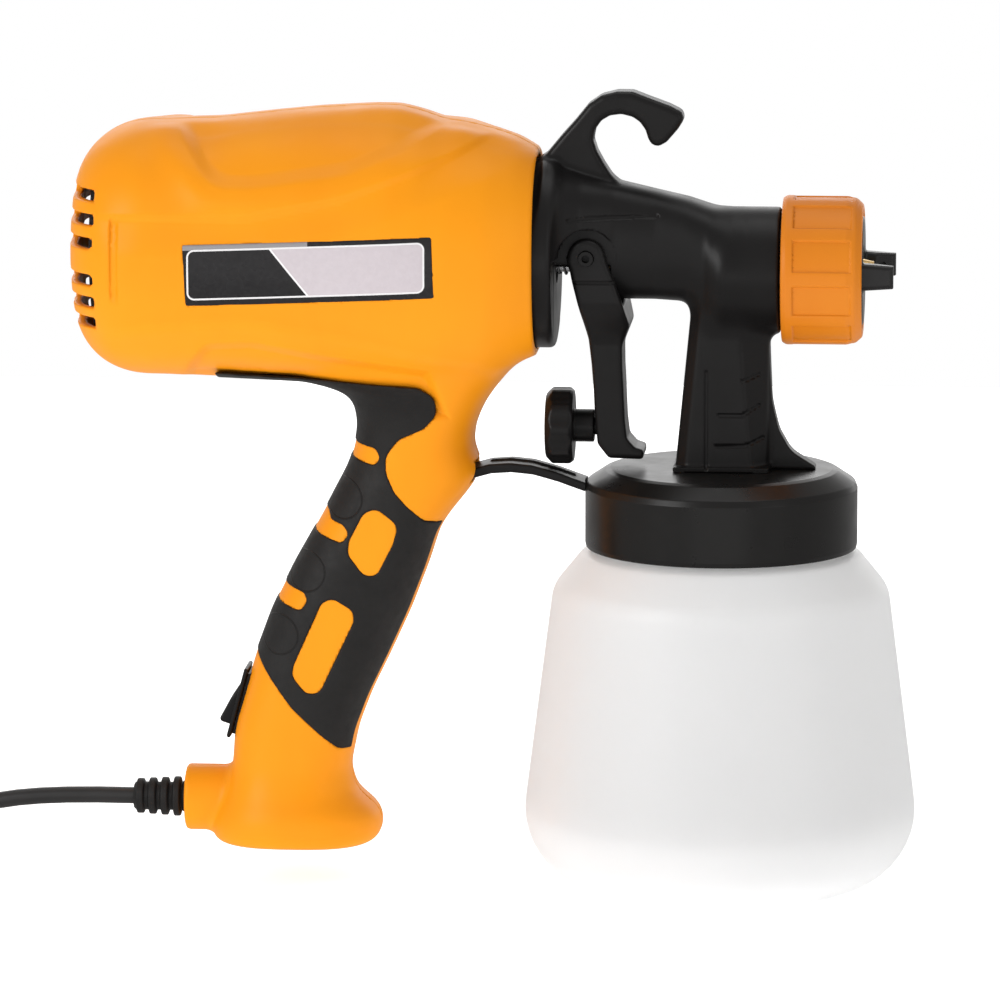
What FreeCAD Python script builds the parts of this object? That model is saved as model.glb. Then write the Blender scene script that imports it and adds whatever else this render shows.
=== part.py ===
"""Electric spray gun with a paint cup, as a parametric document of separate pieces.

Frame: origin at the centre of the cup's base, +X towards the nozzle, +Z up, millimetres.
A coordinate is a plain number, or (word, offset), where the word is a size in the sheet.
"""

import FreeCAD, Part
import math
import os

import Sketcher
from FreeCAD import Placement, Rotation, Vector

SIZES = {
    # main axes and faces
    "spray_z": 205.6, "motor_z": 212.0, "pivot_x": -43.7, "pivot_z": 210.9, "knob_z": 153.2,
    "boss_z": 26.5, "boss_end": -177.7, "relief_end": -195.3, "flange_back": -62.9, "flange_front": -54.3,
    "barrel_front": 19.2, "nut_front": 46.2, "lid_low": 113.7, "lid_edge": 135.5, "lid_top": 139.9,
    # cup
    "cup_foot_rad": 69.9, "cup_foot_round": 27.0, "cup_upper_rad": 55.0, "cup_top_rad": 46.0,
    "cup_neck_rad": 41.6, "cup_wall": 1.8, "cup_shoulder_z": 100.0, "cup_top_z": 111.5, "cup_neck_z": 113.0,
    "cup_mouth_z": 129.8,
    "lid_rad": 44.8, "lid_flat_rad": 37.6, "lid_bore_rad": 42.4,
    # gun
    "flange_rad": 31.1, "barrel_rad": 20.6, "nut_rad": 24.5, "nose_rad": 19.5, "cap_rad": 21.2,
    "needle_rad": 1.5, "pin_rad": 2.4, "knob_rad": 12.7, "flute_count": 10, "knob_flutes": 10,
    # motor and shell
    "shaft_rad": 4.0, "armature_rad": 17.0, "stator_bore": 17.8, "stator_rad": 27.0, "fan_rad": 36.0,
    "shell_wall": 2.6, "grip_depth": 1.8, "running_gap": 0.05, "boss_rad": 4.5, "screw_rad": 1.5,
    "badge_x": -131.9, "badge_z": 209.2, "badge_half_long": 40.4, "badge_half_tall": 10.0, "badge_tilt": 2.4,
    # cord
    "cord_rad": 2.8, "coil_mean_rad": 33.0, "coil_x": -335.0, "coil_y": 33.4, "pin_pitch": 19.0,
    "plug_half": 7.4, "plug_collar": -309.0, "clamp_x": -154.5,
}

doc = FreeCAD.newDocument("SprayGun")
sheet = doc.addObject("Spreadsheet::Sheet", "Sizes")
for row, (alias, value) in enumerate(SIZES.items(), start=1):
    sheet.set(f"A{row}", alias)
    sheet.set(f"B{row}", str(value))
    sheet.setAlias(f"B{row}", alias)
doc.recompute()

nodes = []


def size(alias):
    """A driving dimension, read back from the sheet."""
    return float(getattr(sheet, alias))


def number(coordinate):
    """The value of a coordinate now."""
    if isinstance(coordinate, tuple):
        return size(coordinate[0]) + coordinate[1]
    return float(coordinate)


def words(coordinate):
    """The expression that binds a coordinate to the sheet."""
    if isinstance(coordinate, tuple):
        return f"Sizes.{coordinate[0]} + ({coordinate[1]})"
    return str(coordinate)


def kept(thing, label):
    """Names a document object as a sub-part."""
    thing.Label = label
    nodes.append(thing)
    return thing


def shape_node(label, shape):
    """A sub-part whose shape is set in code."""
    feature = doc.addObject("Part::Feature", label)
    feature.Shape = shape
    return kept(feature, label)


def origin_plane(body, role):
    return [plane for plane in body.Origin.OriginFeatures if plane.Role == role][0]


def bound_outline(body, name, points):
    """A closed outline on the body's XZ plane, every corner bound to the sheet."""
    sketch = body.newObject("Sketcher::SketchObject", name)
    sketch.AttachmentSupport = [(origin_plane(body, "XZ_Plane"), "")]
    sketch.MapMode = "FlatFace"
    corners = [Vector(number(across), number(up), 0) for across, up in points]
    for start, end in zip(corners, corners[1:] + corners[:1]):
        sketch.addGeometry(Part.LineSegment(start, end), False)
    for line in range(len(points)):
        following = (line + 1) % len(points)
        sketch.addConstraint(Sketcher.Constraint("Coincident", line, 2, following, 1))
    for line, point in enumerate(points):
        for kind, coordinate in zip(("DistanceX", "DistanceY"), point):
            place = Sketcher.Constraint(kind, -1, 1, line, 1, number(coordinate))
            index = sketch.addConstraint(place)
            sketch.setExpression(f"Constraints[{index}]", words(coordinate))
    return sketch


def turned_body(name, axis, profile, lift=0.0):
    """A turned piece: profile points are (along, radius) about X at height lift, or (radius, z) about Z."""
    body = doc.addObject("PartDesign::Body", name)
    sketch = bound_outline(body, f"{name}_outline", profile)
    turn = body.newObject("PartDesign::Revolution", f"{name}_turn")
    turn.Profile = sketch
    turn.ReferenceAxis = (sketch, ["H_Axis" if axis == "X" else "V_Axis"])
    turn.Angle = 360
    body.setExpression("Placement.Base.z", words(lift))
    sketch.Visibility = False
    return body


def turned(label, axis, profile, lift=0.0):
    return kept(turned_body(label, axis, profile, lift), label)


def ring(start, end, outer, inner):
    """The profile of a plain ring or sleeve about X."""
    return [(start, inner), (end, inner), (end, outer), (start, outer)]


def rod_shape(radius, start, end):
    """A cylinder from one point to another."""
    start, end = Vector(*start), Vector(*end)
    return Part.makeCylinder(radius, (end - start).Length, start, end - start)


def box_shape(low, high):
    return Part.makeBox(*(b - a for a, b in zip(low, high)), Vector(*low))


def plate_shape(points, half_width, middle=0.0):
    """An XZ outline made half_width thick to each side of Y = middle."""
    corners = [Vector(x, middle - half_width, z) for x, z in points]
    face = Part.Face(Part.makePolygon(corners + corners[:1]))
    return face.extrude(Vector(0, 2 * half_width, 0))


def smooth_plate(points, half_width, middle=0.0):
    """An outline through the points as one smooth closed curve, made half_width thick to each side."""
    curve = Part.BSplineCurve()
    curve.interpolate([Vector(x, middle - half_width, z) for x, z in points], PeriodicFlag=True)
    face = Part.Face(Part.Wire(curve.toShape()))
    return face.extrude(Vector(0, 2 * half_width, 0))


def rounded_wire(low, high, radius, place):
    """A rounded rectangle; place turns its two coordinates into a point in space."""
    (a0, b0), (a1, b1) = low, high
    radius = min(radius, 0.49 * (a1 - a0), 0.49 * (b1 - b0))
    near = radius * (1 - math.sqrt(0.5))
    corners = [
        ((a1 - radius, b0), (a1 - near, b0 + near), (a1, b0 + radius)),
        ((a1, b1 - radius), (a1 - near, b1 - near), (a1 - radius, b1)),
        ((a0 + radius, b1), (a0 + near, b1 - near), (a0, b1 - radius)),
        ((a0, b0 + radius), (a0 + near, b0 + near), (a0 + radius, b0)),
    ]
    edges = []
    for index, corner in enumerate(corners):
        start, middle, end = (place(*point) for point in corner)
        edges.append(Part.Arc(start, middle, end).toShape())
        edges.append(Part.LineSegment(end, place(*corners[(index + 1) % 4][0])).toShape())
    return Part.Wire(edges)


def barrel_solid(stations, inset=0.0):
    """A lengthwise casing through (x, z low, z high, half width, corner radius) stations."""
    wires = [
        rounded_wire(
            (-half + inset, low + inset), (half - inset, high - inset), max(corner - inset, 2.0),
            lambda y, z, x=x: Vector(x, y, z),
        )
        for x, low, high, half, corner in stations
    ]
    return Part.makeLoft(wires, True, True)


def column_solid(stations, inset=0.0):
    """An upright column through (z, x rear, x front, half width, corner radius) stations."""
    wires = [
        rounded_wire(
            (rear + inset, -half + inset), (front - inset, half - inset), max(corner - inset, 2.0),
            lambda x, y, z=z: Vector(x, y, z),
        )
        for z, rear, front, half, corner in stations
    ]
    return Part.makeLoft(wires, True, True)


def fused(shapes):
    return shapes[0].multiFuse(shapes[1:]).removeSplitter()


# ---------------------------------------------------------------- cup

def build_cup():
    """The blown paint bottle, its lid ring, gasket, pick-up tube, strainer and brace."""
    bottle = turned_body("cup_bottle", "Z", [
        (0, 0), (("cup_foot_rad", 0), 0), (("cup_upper_rad", 0), ("cup_shoulder_z", 0)),
        (("cup_top_rad", 0), ("cup_top_z", 0)), (("cup_neck_rad", 0), ("cup_neck_z", 0)),
        (("cup_neck_rad", 0), ("cup_mouth_z", 0)), (0, ("cup_mouth_z", 0)),
    ])
    doc.recompute()
    round_edges(bottle, [(size("cup_foot_rad"), 0.0)], size("cup_foot_round"))
    round_edges(bottle, [(size("cup_upper_rad"), size("cup_shoulder_z"))], 12.0)
    round_edges(bottle, [(size("cup_top_rad"), size("cup_top_z"))], 3.0)
    hollow = bound_outline(bottle, "cup_hollow", [
        (0, ("cup_wall", 0)), (("cup_foot_rad", -32.9), ("cup_wall", 0)), (("cup_foot_rad", -18.8), 5.5),
        (("cup_foot_rad", -9.7), 14.6), (("cup_foot_rad", -6.5), 27.0), (("cup_foot_rad", -7.3), 35.0),
        (("cup_upper_rad", -2.2), ("cup_shoulder_z", -0.95)), (("cup_top_rad", -1.8), ("cup_top_z", -3)),
        (("cup_neck_rad", -1.8), ("cup_neck_z", -2)), (("cup_neck_rad", -1.8), ("cup_mouth_z", 5)),
        (0, ("cup_mouth_z", 5)),
    ])
    before = bottle.Shape.Volume
    groove = bottle.newObject("PartDesign::Groove", "cup_inside")
    groove.Profile = hollow
    groove.ReferenceAxis = (hollow, ["V_Axis"])
    groove.Angle = 360
    doc.recompute()
    print("cup material", round(before / 1000), "->", round(bottle.Shape.Volume / 1000), "cm3")
    kept(bottle, "cup_bottle")
    turned("cup_lid", "Z", [
        (("lid_bore_rad", 0), ("lid_low", 0)), (("lid_rad", 0), ("lid_low", 0)),
        (("lid_rad", 0), ("lid_edge", 0)), (("lid_flat_rad", 0), ("lid_top", 0)),
        (5.2, ("lid_top", 0)), (5.2, ("lid_edge", -3.8)), (("lid_bore_rad", 0), ("lid_edge", -3.8)),
    ])
    turned("lid_gasket", "Z", [
        (35, ("lid_edge", -5.5)), (("lid_bore_rad", 0), ("lid_edge", -5.5)),
        (("lid_bore_rad", 0), ("lid_edge", -3.8)), (35, ("lid_edge", -3.8)),
    ])
    turned("pickup_tube", "Z", [
        (2.0, 9.0), (3.0, 9.0), (3.0, ("lid_edge", -4)), (4.2, ("lid_edge", -4)), (4.2, ("lid_edge", 0)),
        (2.0, ("lid_edge", 0)),
    ])
    turned("pickup_strainer", "Z", [
        (0, 3.5), (6.5, 3.5), (6.5, 20.0), (3.0, 22.0), (3.0, 9.0), (0, 9.0),
    ])
    strap_top = [
        (-81.5, 139.6), (-76.0, 141.0), (-69.2, 141.4), (-62.0, 140.8), (-54.0, 138.6), (-43.0, 134.6),
    ]
    strap_low = [(x + 0.4, z - 3.2) for x, z in reversed(strap_top)]
    strap = plate_shape(strap_top + strap_low, 7.5)
    strap = strap.cut(rod_shape(size("lid_rad"), (0, 0, 100), (0, 0, 150)))
    shape_node("cup_brace", strap)


def round_edges(body, circles, radius):
    """Rounds the turned body's circular edges, found by their (radius, z)."""
    base = body.Tip
    names = []
    for index, edge in enumerate(base.Shape.Edges, start=1):
        curve = edge.Curve
        if not isinstance(curve, Part.Circle):
            continue
        for rad, level in circles:
            if abs(curve.Center.z - level) < 0.01 and abs(curve.Radius - rad) < 0.01:
                names.append(f"Edge{index}")
    fillet = body.newObject("PartDesign::Fillet", f"{body.Name}_round")
    fillet.Base = (base, names)
    fillet.Radius = radius
    body.Tip = fillet
    doc.recompute()


# ---------------------------------------------------------------- gun body and nozzle

HOOK = [
    (-58.5, 236.0), (-51.5, 249.5), (-43.7, 258.5), (-38.7, 262.9), (-34.1, 264.3), (-29.1, 263.4),
    (-21.8, 261.1), (-15.9, 258.8), (-12.9, 255.5), (-14.2, 251.2), (-18.9, 247.1), (-21.5, 246.0),
    (-23.8, 247.7), (-24.8, 251.0), (-26.1, 253.3), (-29.5, 255.6), (-34.1, 256.6), (-38.1, 255.5),
    (-40.7, 253.2), (-42.4, 248.8), (-41.7, 244.8), (-38.6, 239.5), (-34.5, 232.0), (-45.0, 226.0),
]


def build_gun_body():
    """The moulded gun body: flange, neck, barrel, hook and the pillar that stands on the lid."""
    spray = size("spray_z")
    pivot = Vector(size("pivot_x"), 0, size("pivot_z"))
    flange_z = size("motor_z") - 1.6
    back, front = size("flange_back"), size("flange_front")
    rad, nose = size("barrel_rad"), size("nose_rad")
    barrel_end = size("barrel_front")
    neck = barrel_solid([
        (front - 1.0, 185.0, 236.5, 25.0, 22.0), (-46.0, 192.0, 237.0, 19.0, 15.0),
        (-36.0, 196.0, 234.6, 14.6, 12.0), (-16.0, 195.6, 230.4, 14.6, 12.0),
        (-9.0, 191.0, 228.0, 17.0, 15.0), (-3.6, spray - rad, spray + rad, rad, rad),
        (barrel_end, spray - rad, spray + rad, rad, rad),
    ])
    pillar = column_solid([
        (size("lid_top"), -14.9, 31.0, 14.0, 5.0), (141.2, -14.8, 30.0, 14.0, 5.0),
        (147.0, -14.0, 21.2, 13.0, 6.0), (153.0, -13.6, 18.4, 12.5, 6.0), (162.5, -13.0, 16.2, 12.2, 6.0),
        (183.6, -12.2, 15.2, 12.0, 6.0), (200.0, -11.6, 15.2, 12.0, 6.0),
    ])
    solid = fused([
        rod_shape(size("flange_rad"), (back, 0, flange_z), (front, 0, flange_z)),
        rod_shape(26.6, (back - 6.0, 0, flange_z), (back, 0, flange_z)),
        neck, pillar, smooth_plate(HOOK, 5.5),
        rod_shape(nose, (barrel_end, 0, spray), (33.0, 0, spray)),
        rod_shape(4.9, (0, 0, 128.0), (0, 0, 141.0)),
    ])
    air_duct = barrel_solid([
        (back - 8.0, 216.5, 231.5, 14.0, 4.0), (-46.0, 216.5, 232.0, 9.0, 4.0),
        (-16.0, 216.0, 227.6, 9.0, 4.0), (8.0, 216.0, 223.0, 9.0, 3.0),
    ])
    annulus = rod_shape(16.5, (4.0, 0, spray), (34.0, 0, spray))
    annulus = annulus.cut(rod_shape(7.6, (3.0, 0, spray), (27.0, 0, spray)))
    cuts = [
        air_duct, annulus,
        rod_shape(2.2, (0, 0, 120.0), (0, 0, spray)),
        rod_shape(3.2, (-28.0, 0, spray), (35.0, 0, spray)),
        rod_shape(5.0, (-37.0, 0, spray), (-28.0, 0, spray)),
        rod_shape(5.2, (-62.0, 0, spray), (-50.0, 0, spray)),
        rod_shape(size("pin_rad"), (pivot.x, -25, pivot.z), (pivot.x, 25, pivot.z)),
        box_shape((-54.3, -30, 180.0), (-36.0, 30, 208.4)),
        rod_shape(4.3, (0, 0, 127.0), (0, 0, size("lid_edge"))),
    ]
    for side in (-1, 1):
        cuts.append(rod_shape(9.4, (pivot.x, side * 15.0, pivot.z), (pivot.x, side * 30.0, pivot.z)))
        low, high = sorted((side * 15.0, side * 30.0))
        cuts.append(box_shape((-54.3, low, 180.0), (-34.3, high, pivot.z)))
    shape_node("gun_body", solid.cut(cuts))
    turned("flange_seal", "X", ring(("flange_back", -1.1), ("flange_back", 0), 29.5, 26.9), flange_z)


def build_trigger():
    """The forked trigger, its hinge pin, and the flow knob that screws into its back."""
    pivot_x, pivot_z = size("pivot_x"), size("pivot_z")
    blade = plate_shape([
        (-45.7, 199.0), (-44.7, 188.5), (-43.4, 183.2), (-42.4, 174.8), (-41.7, 166.1), (-41.4, 159.4),
        (-40.4, 148.4), (-36.7, 143.8), (-25.4, 143.6), (-25.4, 146.3), (-28.1, 147.2), (-30.5, 149.8),
        (-31.3, 156.0), (-31.8, 166.6), (-32.2, 174.0), (-32.6, 181.0), (-30.6, 186.6), (-33.0, 194.6),
        (-36.8, 195.2), (-37.2, 199.0),
    ], 9.5)
    bridge = plate_shape([
        (-46.0, 199.5), (-45.0, 188.5), (-33.2, 188.5), (-33.0, 194.6), (-36.8, 195.2), (-37.2, 199.5),
    ], 18.3)
    web = box_shape((-44.0, -9.5, 198.0), (-40.5, 9.5, 207.6))
    slot = box_shape((-46.0, -1.8, 202.4), (-38.0, 1.8, 210.0))
    ears = []
    for side in (-1, 1):
        ear = plate_shape([
            (-50.0, 206.0), (-46.3, 190.0), (-33.2, 190.0), (-35.2, 203.4), (-37.2, 211.0), (-50.2, 211.0),
        ], 1.6, side * 16.7)
        inner, outer = sorted((side * 15.2, side * 18.3))
        top = rod_shape(6.8, (pivot_x, inner, pivot_z), (pivot_x, outer, pivot_z))
        reach = box_shape((-60, inner, 180), (-20, outer, 230))
        ears.append(ear.common(reach).fuse(top))
    knob_z = size("knob_z")
    shape = fused([blade, bridge, web.cut(slot), *ears])
    bore = size("pin_rad") + size("running_gap")
    shape = shape.cut([
        rod_shape(bore, (pivot_x, -25, pivot_z), (pivot_x, 25, pivot_z)),
        rod_shape(3.05, (-50, 0, knob_z), (-33.0, 0, knob_z)),
    ])
    shape_node("trigger", shape)
    pin = rod_shape(size("pin_rad"), (pivot_x, -19.4, pivot_z), (pivot_x, 19.4, pivot_z))
    socket = rod_shape(1.3, (pivot_x, -19.4, pivot_z), (pivot_x, -17.0, pivot_z))
    shape_node("trigger_pin", pin.cut(socket))
    knob = turned_body("flow_knob", "X", [
        (-57.8, 0), (-57.8, ("knob_rad", -1.6)), (-56.2, ("knob_rad", 0)), (-49.8, ("knob_rad", 0)),
        (-48.6, ("knob_rad", -1.2)), (-48.6, 5.4), (-41.9, 5.4), (-41.9, 3.0), (-33.4, 3.0), (-33.4, 0),
    ], ("knob_z", 0))
    cut_flutes(knob, "flow_knob", "knob_rad", "knob_flutes", (-58.5, -47.5), 2.2, 1.1)
    kept(knob, "flow_knob")


def cut_flutes(body, name, rim, count, span, half_width, depth):
    """Cuts straight flutes round a turned body's rim, as one pocket and its polar pattern."""
    doc.recompute()
    before = body.Shape.Volume
    sketch = body.newObject("Sketcher::SketchObject", f"{name}_flute_outline")
    sketch.AttachmentSupport = [(origin_plane(body, "YZ_Plane"), "")]
    sketch.MapMode = "FlatFace"
    radius, top = size(rim) - depth, size(rim) + 1.0
    corners = [Vector(-half_width, top, 0), Vector(-half_width * 0.6, radius, 0),
               Vector(half_width * 0.6, radius, 0), Vector(half_width, top, 0)]
    for start, end in zip(corners, corners[1:] + corners[:1]):
        sketch.addGeometry(Part.LineSegment(start, end), False)
    sketch.AttachmentOffset = Placement(Vector(0, 0, span[1]), Rotation())
    pocket = body.newObject("PartDesign::Pocket", f"{name}_flute")
    pocket.Profile = sketch
    pocket.Length = span[1] - span[0]
    doc.recompute()
    pattern = body.newObject("PartDesign::PolarPattern", f"{name}_flutes")
    pattern.Originals = [pocket]
    pattern.Axis = (origin_axis(body, "X_Axis"), [""])
    pattern.Angle = 360
    pattern.setExpression("Occurrences", f"Sizes.{count}")
    body.Tip = pattern
    doc.recompute()
    print(name, "flutes remove", round(before - body.Shape.Volume), "mm3")


def origin_axis(body, role):
    return [axis for axis in body.Origin.OriginFeatures if axis.Role == role][0]


def build_needle():
    """The paint needle with its collar, return spring, seal and packing nut."""
    spray = ("spray_z", 0)
    turned("needle", "X", [
        (-60.0, 0), (-60.0, ("needle_rad", 0)), (43.6, ("needle_rad", 0)), (48.2, 0.7), (48.2, 0),
    ], spray)
    turned("needle_collar", "X", ring(-48.0, -44.9, 2.7, ("needle_rad", 0)), spray)
    turned("needle_packing", "X", ring(-32.0, -28.0, 5.0, ("needle_rad", 0.05)), spray)
    turned("packing_nut", "X", ring(-37.0, -32.0, 5.0, ("needle_rad", 0.1)), spray)
    height, pitch, radius, wire = 13.0, 2.0, 2.2, 0.35
    helix = Part.makeHelix(pitch, height - 2 * wire, radius)
    section = Part.Wire(Part.makeCircle(wire, Vector(radius, 0, 0), Vector(0, 1, 0)))
    coil = Part.Wire(helix).makePipeShell([section], True, True)
    coil.rotate(Vector(0, 0, 0), Vector(0, 1, 0), 90)
    coil.translate(Vector(-61.6 + wire, 0, size("spray_z")))
    shape_node("needle_spring", coil)


def build_nozzle():
    """The fluid nozzle, its seal, the air cap with two horns, and the fluted ring nut."""
    spray = ("spray_z", 0)
    turned("fluid_nozzle", "X", [
        (27.2, 3.2), (27.2, 9.0), (33.0, 9.0), (36.0, 5.5), (44.0, 4.2), (49.6, 3.0), (49.6, 1.05),
        (44.0, 1.9), (30.0, 1.9), (30.0, 3.2),
    ], spray)
    turned("nozzle_seal", "X", ring(27.0, 27.2, 7.4, 3.3), spray)
    cap = turned_body("air_cap_disc", "X", [
        (34.4, 17.0), (34.4, ("cap_rad", 0)), (37.5, ("cap_rad", 0)), (37.5, 19.0), (45.0, 19.0),
        (46.4, 17.6), (46.4, 4.6), (44.0, 6.0), (38.0, 8.0), (38.0, 17.0),
    ], spray)
    doc.recompute()
    spray_z = size("spray_z")
    horns = []
    for side in (-1, 1):
        inner, outer = sorted((side * 12.6, side * 18.4))
        horn = box_shape((44.0, inner, spray_z - 4.6), (56.4, outer, spray_z + 4.6))
        port = rod_shape(0.9, (52.0, side * 12.0, spray_z), (52.0, side * 16.0, spray_z))
        horns.append(horn.makeFillet(1.0, horn.Edges).cut(port))
    shape_node("air_cap", fused([cap.Shape, *horns]))
    nut = turned_body("nozzle_nut", "X", [
        (19.6, ("nose_rad", 0.35)), (19.6, ("nut_rad", -0.6)), (20.2, ("nut_rad", 0)), (42.2, ("nut_rad", 0)),
        (44.8, ("nut_rad", -0.9)), (("nut_front", 0), ("nut_rad", -2.6)), (("nut_front", 0), 19.6),
        (37.9, 19.6), (37.9, ("cap_rad", 0.35)), (33.6, ("cap_rad", 0.35)), (33.6, ("nose_rad", 0.35)),
    ], spray)
    cut_flutes(nut, "nozzle_nut", "nut_rad", "flute_count", (25.2, 42.8), 3.0, 0.9)
    kept(nut, "nozzle_nut")


# ---------------------------------------------------------------- casing

BARREL = [
    (-213.6, 191.0, 231.0, 24.0, 15.0), (-209.0, 181.0, 241.5, 33.0, 22.0),
    (-200.0, 172.5, 251.0, 41.0, 28.0), (-180.0, 169.7, 253.7, 44.5, 30.0),
    (-145.0, 168.5, 256.5, 46.0, 31.0), (-109.0, 166.5, 259.0, 46.0, 31.0),
    (-85.0, 168.0, 254.5, 43.0, 30.0), (-64.0, 178.0, 246.0, 35.0, 28.0),
    (-60.6, 179.6, 241.8, 31.5, 28.0),
]
HANDLE = [
    (13.2, -166.0, -117.0, 23.0, 20.0), (16.0, -169.5, -113.5, 25.0, 22.0),
    (22.5, -168.5, -111.9, 25.0, 22.0), (30.0, -165.5, -120.0, 22.0, 19.0),
    (38.0, -162.5, -122.8, 20.5, 17.0), (52.0, -161.0, -119.8, 20.0, 16.0),
    (73.3, -154.6, -110.6, 20.0, 15.0), (92.0, -148.3, -102.2, 20.5, 15.0),
    (112.0, -137.7, -95.4, 20.5, 15.0), (124.5, -131.0, -89.0, 20.5, 15.0),
    (131.5, -127.4, -83.6, 20.5, 14.0), (137.5, -124.3, -79.4, 20.5, 14.0),
    (147.0, -120.6, -82.0, 20.5, 15.0), (156.0, -119.4, -80.4, 21.0, 15.0),
    (163.5, -121.5, -76.4, 23.0, 16.0), (166.4, -127.0, -74.8, 25.0, 16.0),
    (169.6, -158.0, -72.0, 28.0, 14.0), (186.0, -150.0, -63.0, 28.0, 14.0),
]
GRIP_REGION = [
    (-170.0, 165.0), (-159.0, 170.3), (-98.0, 167.4), (-92.8, 159.7), (-94.7, 156.0), (-104.6, 150.5),
    (-108.6, 143.3), (-107.0, 135.1), (-102.3, 129.1), (-97.0, 124.2), (-80.0, 122.0), (-84.0, 108.0),
    (-110.0, 45.2), (-125.2, 46.2), (-130.5, 50.8), (-140.4, 60.3), (-160.0, 83.7), (-154.0, 110.0),
    (-134.0, 140.0), (-134.0, 162.0),
]
GRIP_WINDOWS = {
    "lower_window": [
        (-126.5, 97.7), (-120.2, 91.9), (-131.5, 66.2), (-135.4, 65.8), (-140.1, 72.7), (-130.5, 95.9),
    ],
    "upper_window": [
        (-112.3, 127.7), (-105.3, 122.1), (-112.6, 105.6), (-115.9, 105.8), (-121.4, 114.3), (-116.6, 125.9),
    ],
}
SCREW_PLACES = [
    (-194.5, 241.5), (-194.5, 182.5), (-75.5, 240.0), (-88.0, 158.0), (-93.5, 131.5), (-137.0, 38.0),
]
SWITCH_TILT = 15.0
SWITCH_PLACE = Vector(-159.4, 0, 59.6)


def casing_outer(inset=0.0):
    """The whole outside of the casing, or the same moved inwards by inset."""
    handle = [(z + (inset if z < 14 else 0), *rest) for z, *rest in HANDLE]
    shapes = [barrel_solid(trim_ends(BARREL, inset), inset), column_solid(handle, inset)]
    boss = Part.makeCylinder(
        11.0 - inset, 26.0, Vector(size("boss_end") + inset, 0, size("boss_z")), Vector(1, 0, 0)
    )
    return fused([*shapes, boss])


def trim_ends(stations, inset):
    """The barrel's stations with its closed rear face moved in by inset."""
    first = stations[0]
    return [(first[0] + inset, *first[1:]), *stations[1:]]


def switch_shape(low, high):
    """A box in the rocker switch's tilted frame: x into the handle, z up along its back."""
    shape = box_shape(low, high)
    shape.rotate(Vector(0, 0, 0), Vector(0, 1, 0), SWITCH_TILT)
    shape.translate(SWITCH_PLACE)
    return shape


def rear_vents():
    """Slots through the domed rear end, in two banks above and below its middle rib."""
    levels = [190.3, 197.3, 204.7, 216.7, 224.3, 231.9]
    slots = []
    for level in levels:
        for side in (-1, 1):
            low, high = sorted((side * 5.0, side * 31.0))
            slots.append(box_shape((-220.0, low, level - 1.8), (-205.5, high, level + 1.8)))
    return slots


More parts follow.
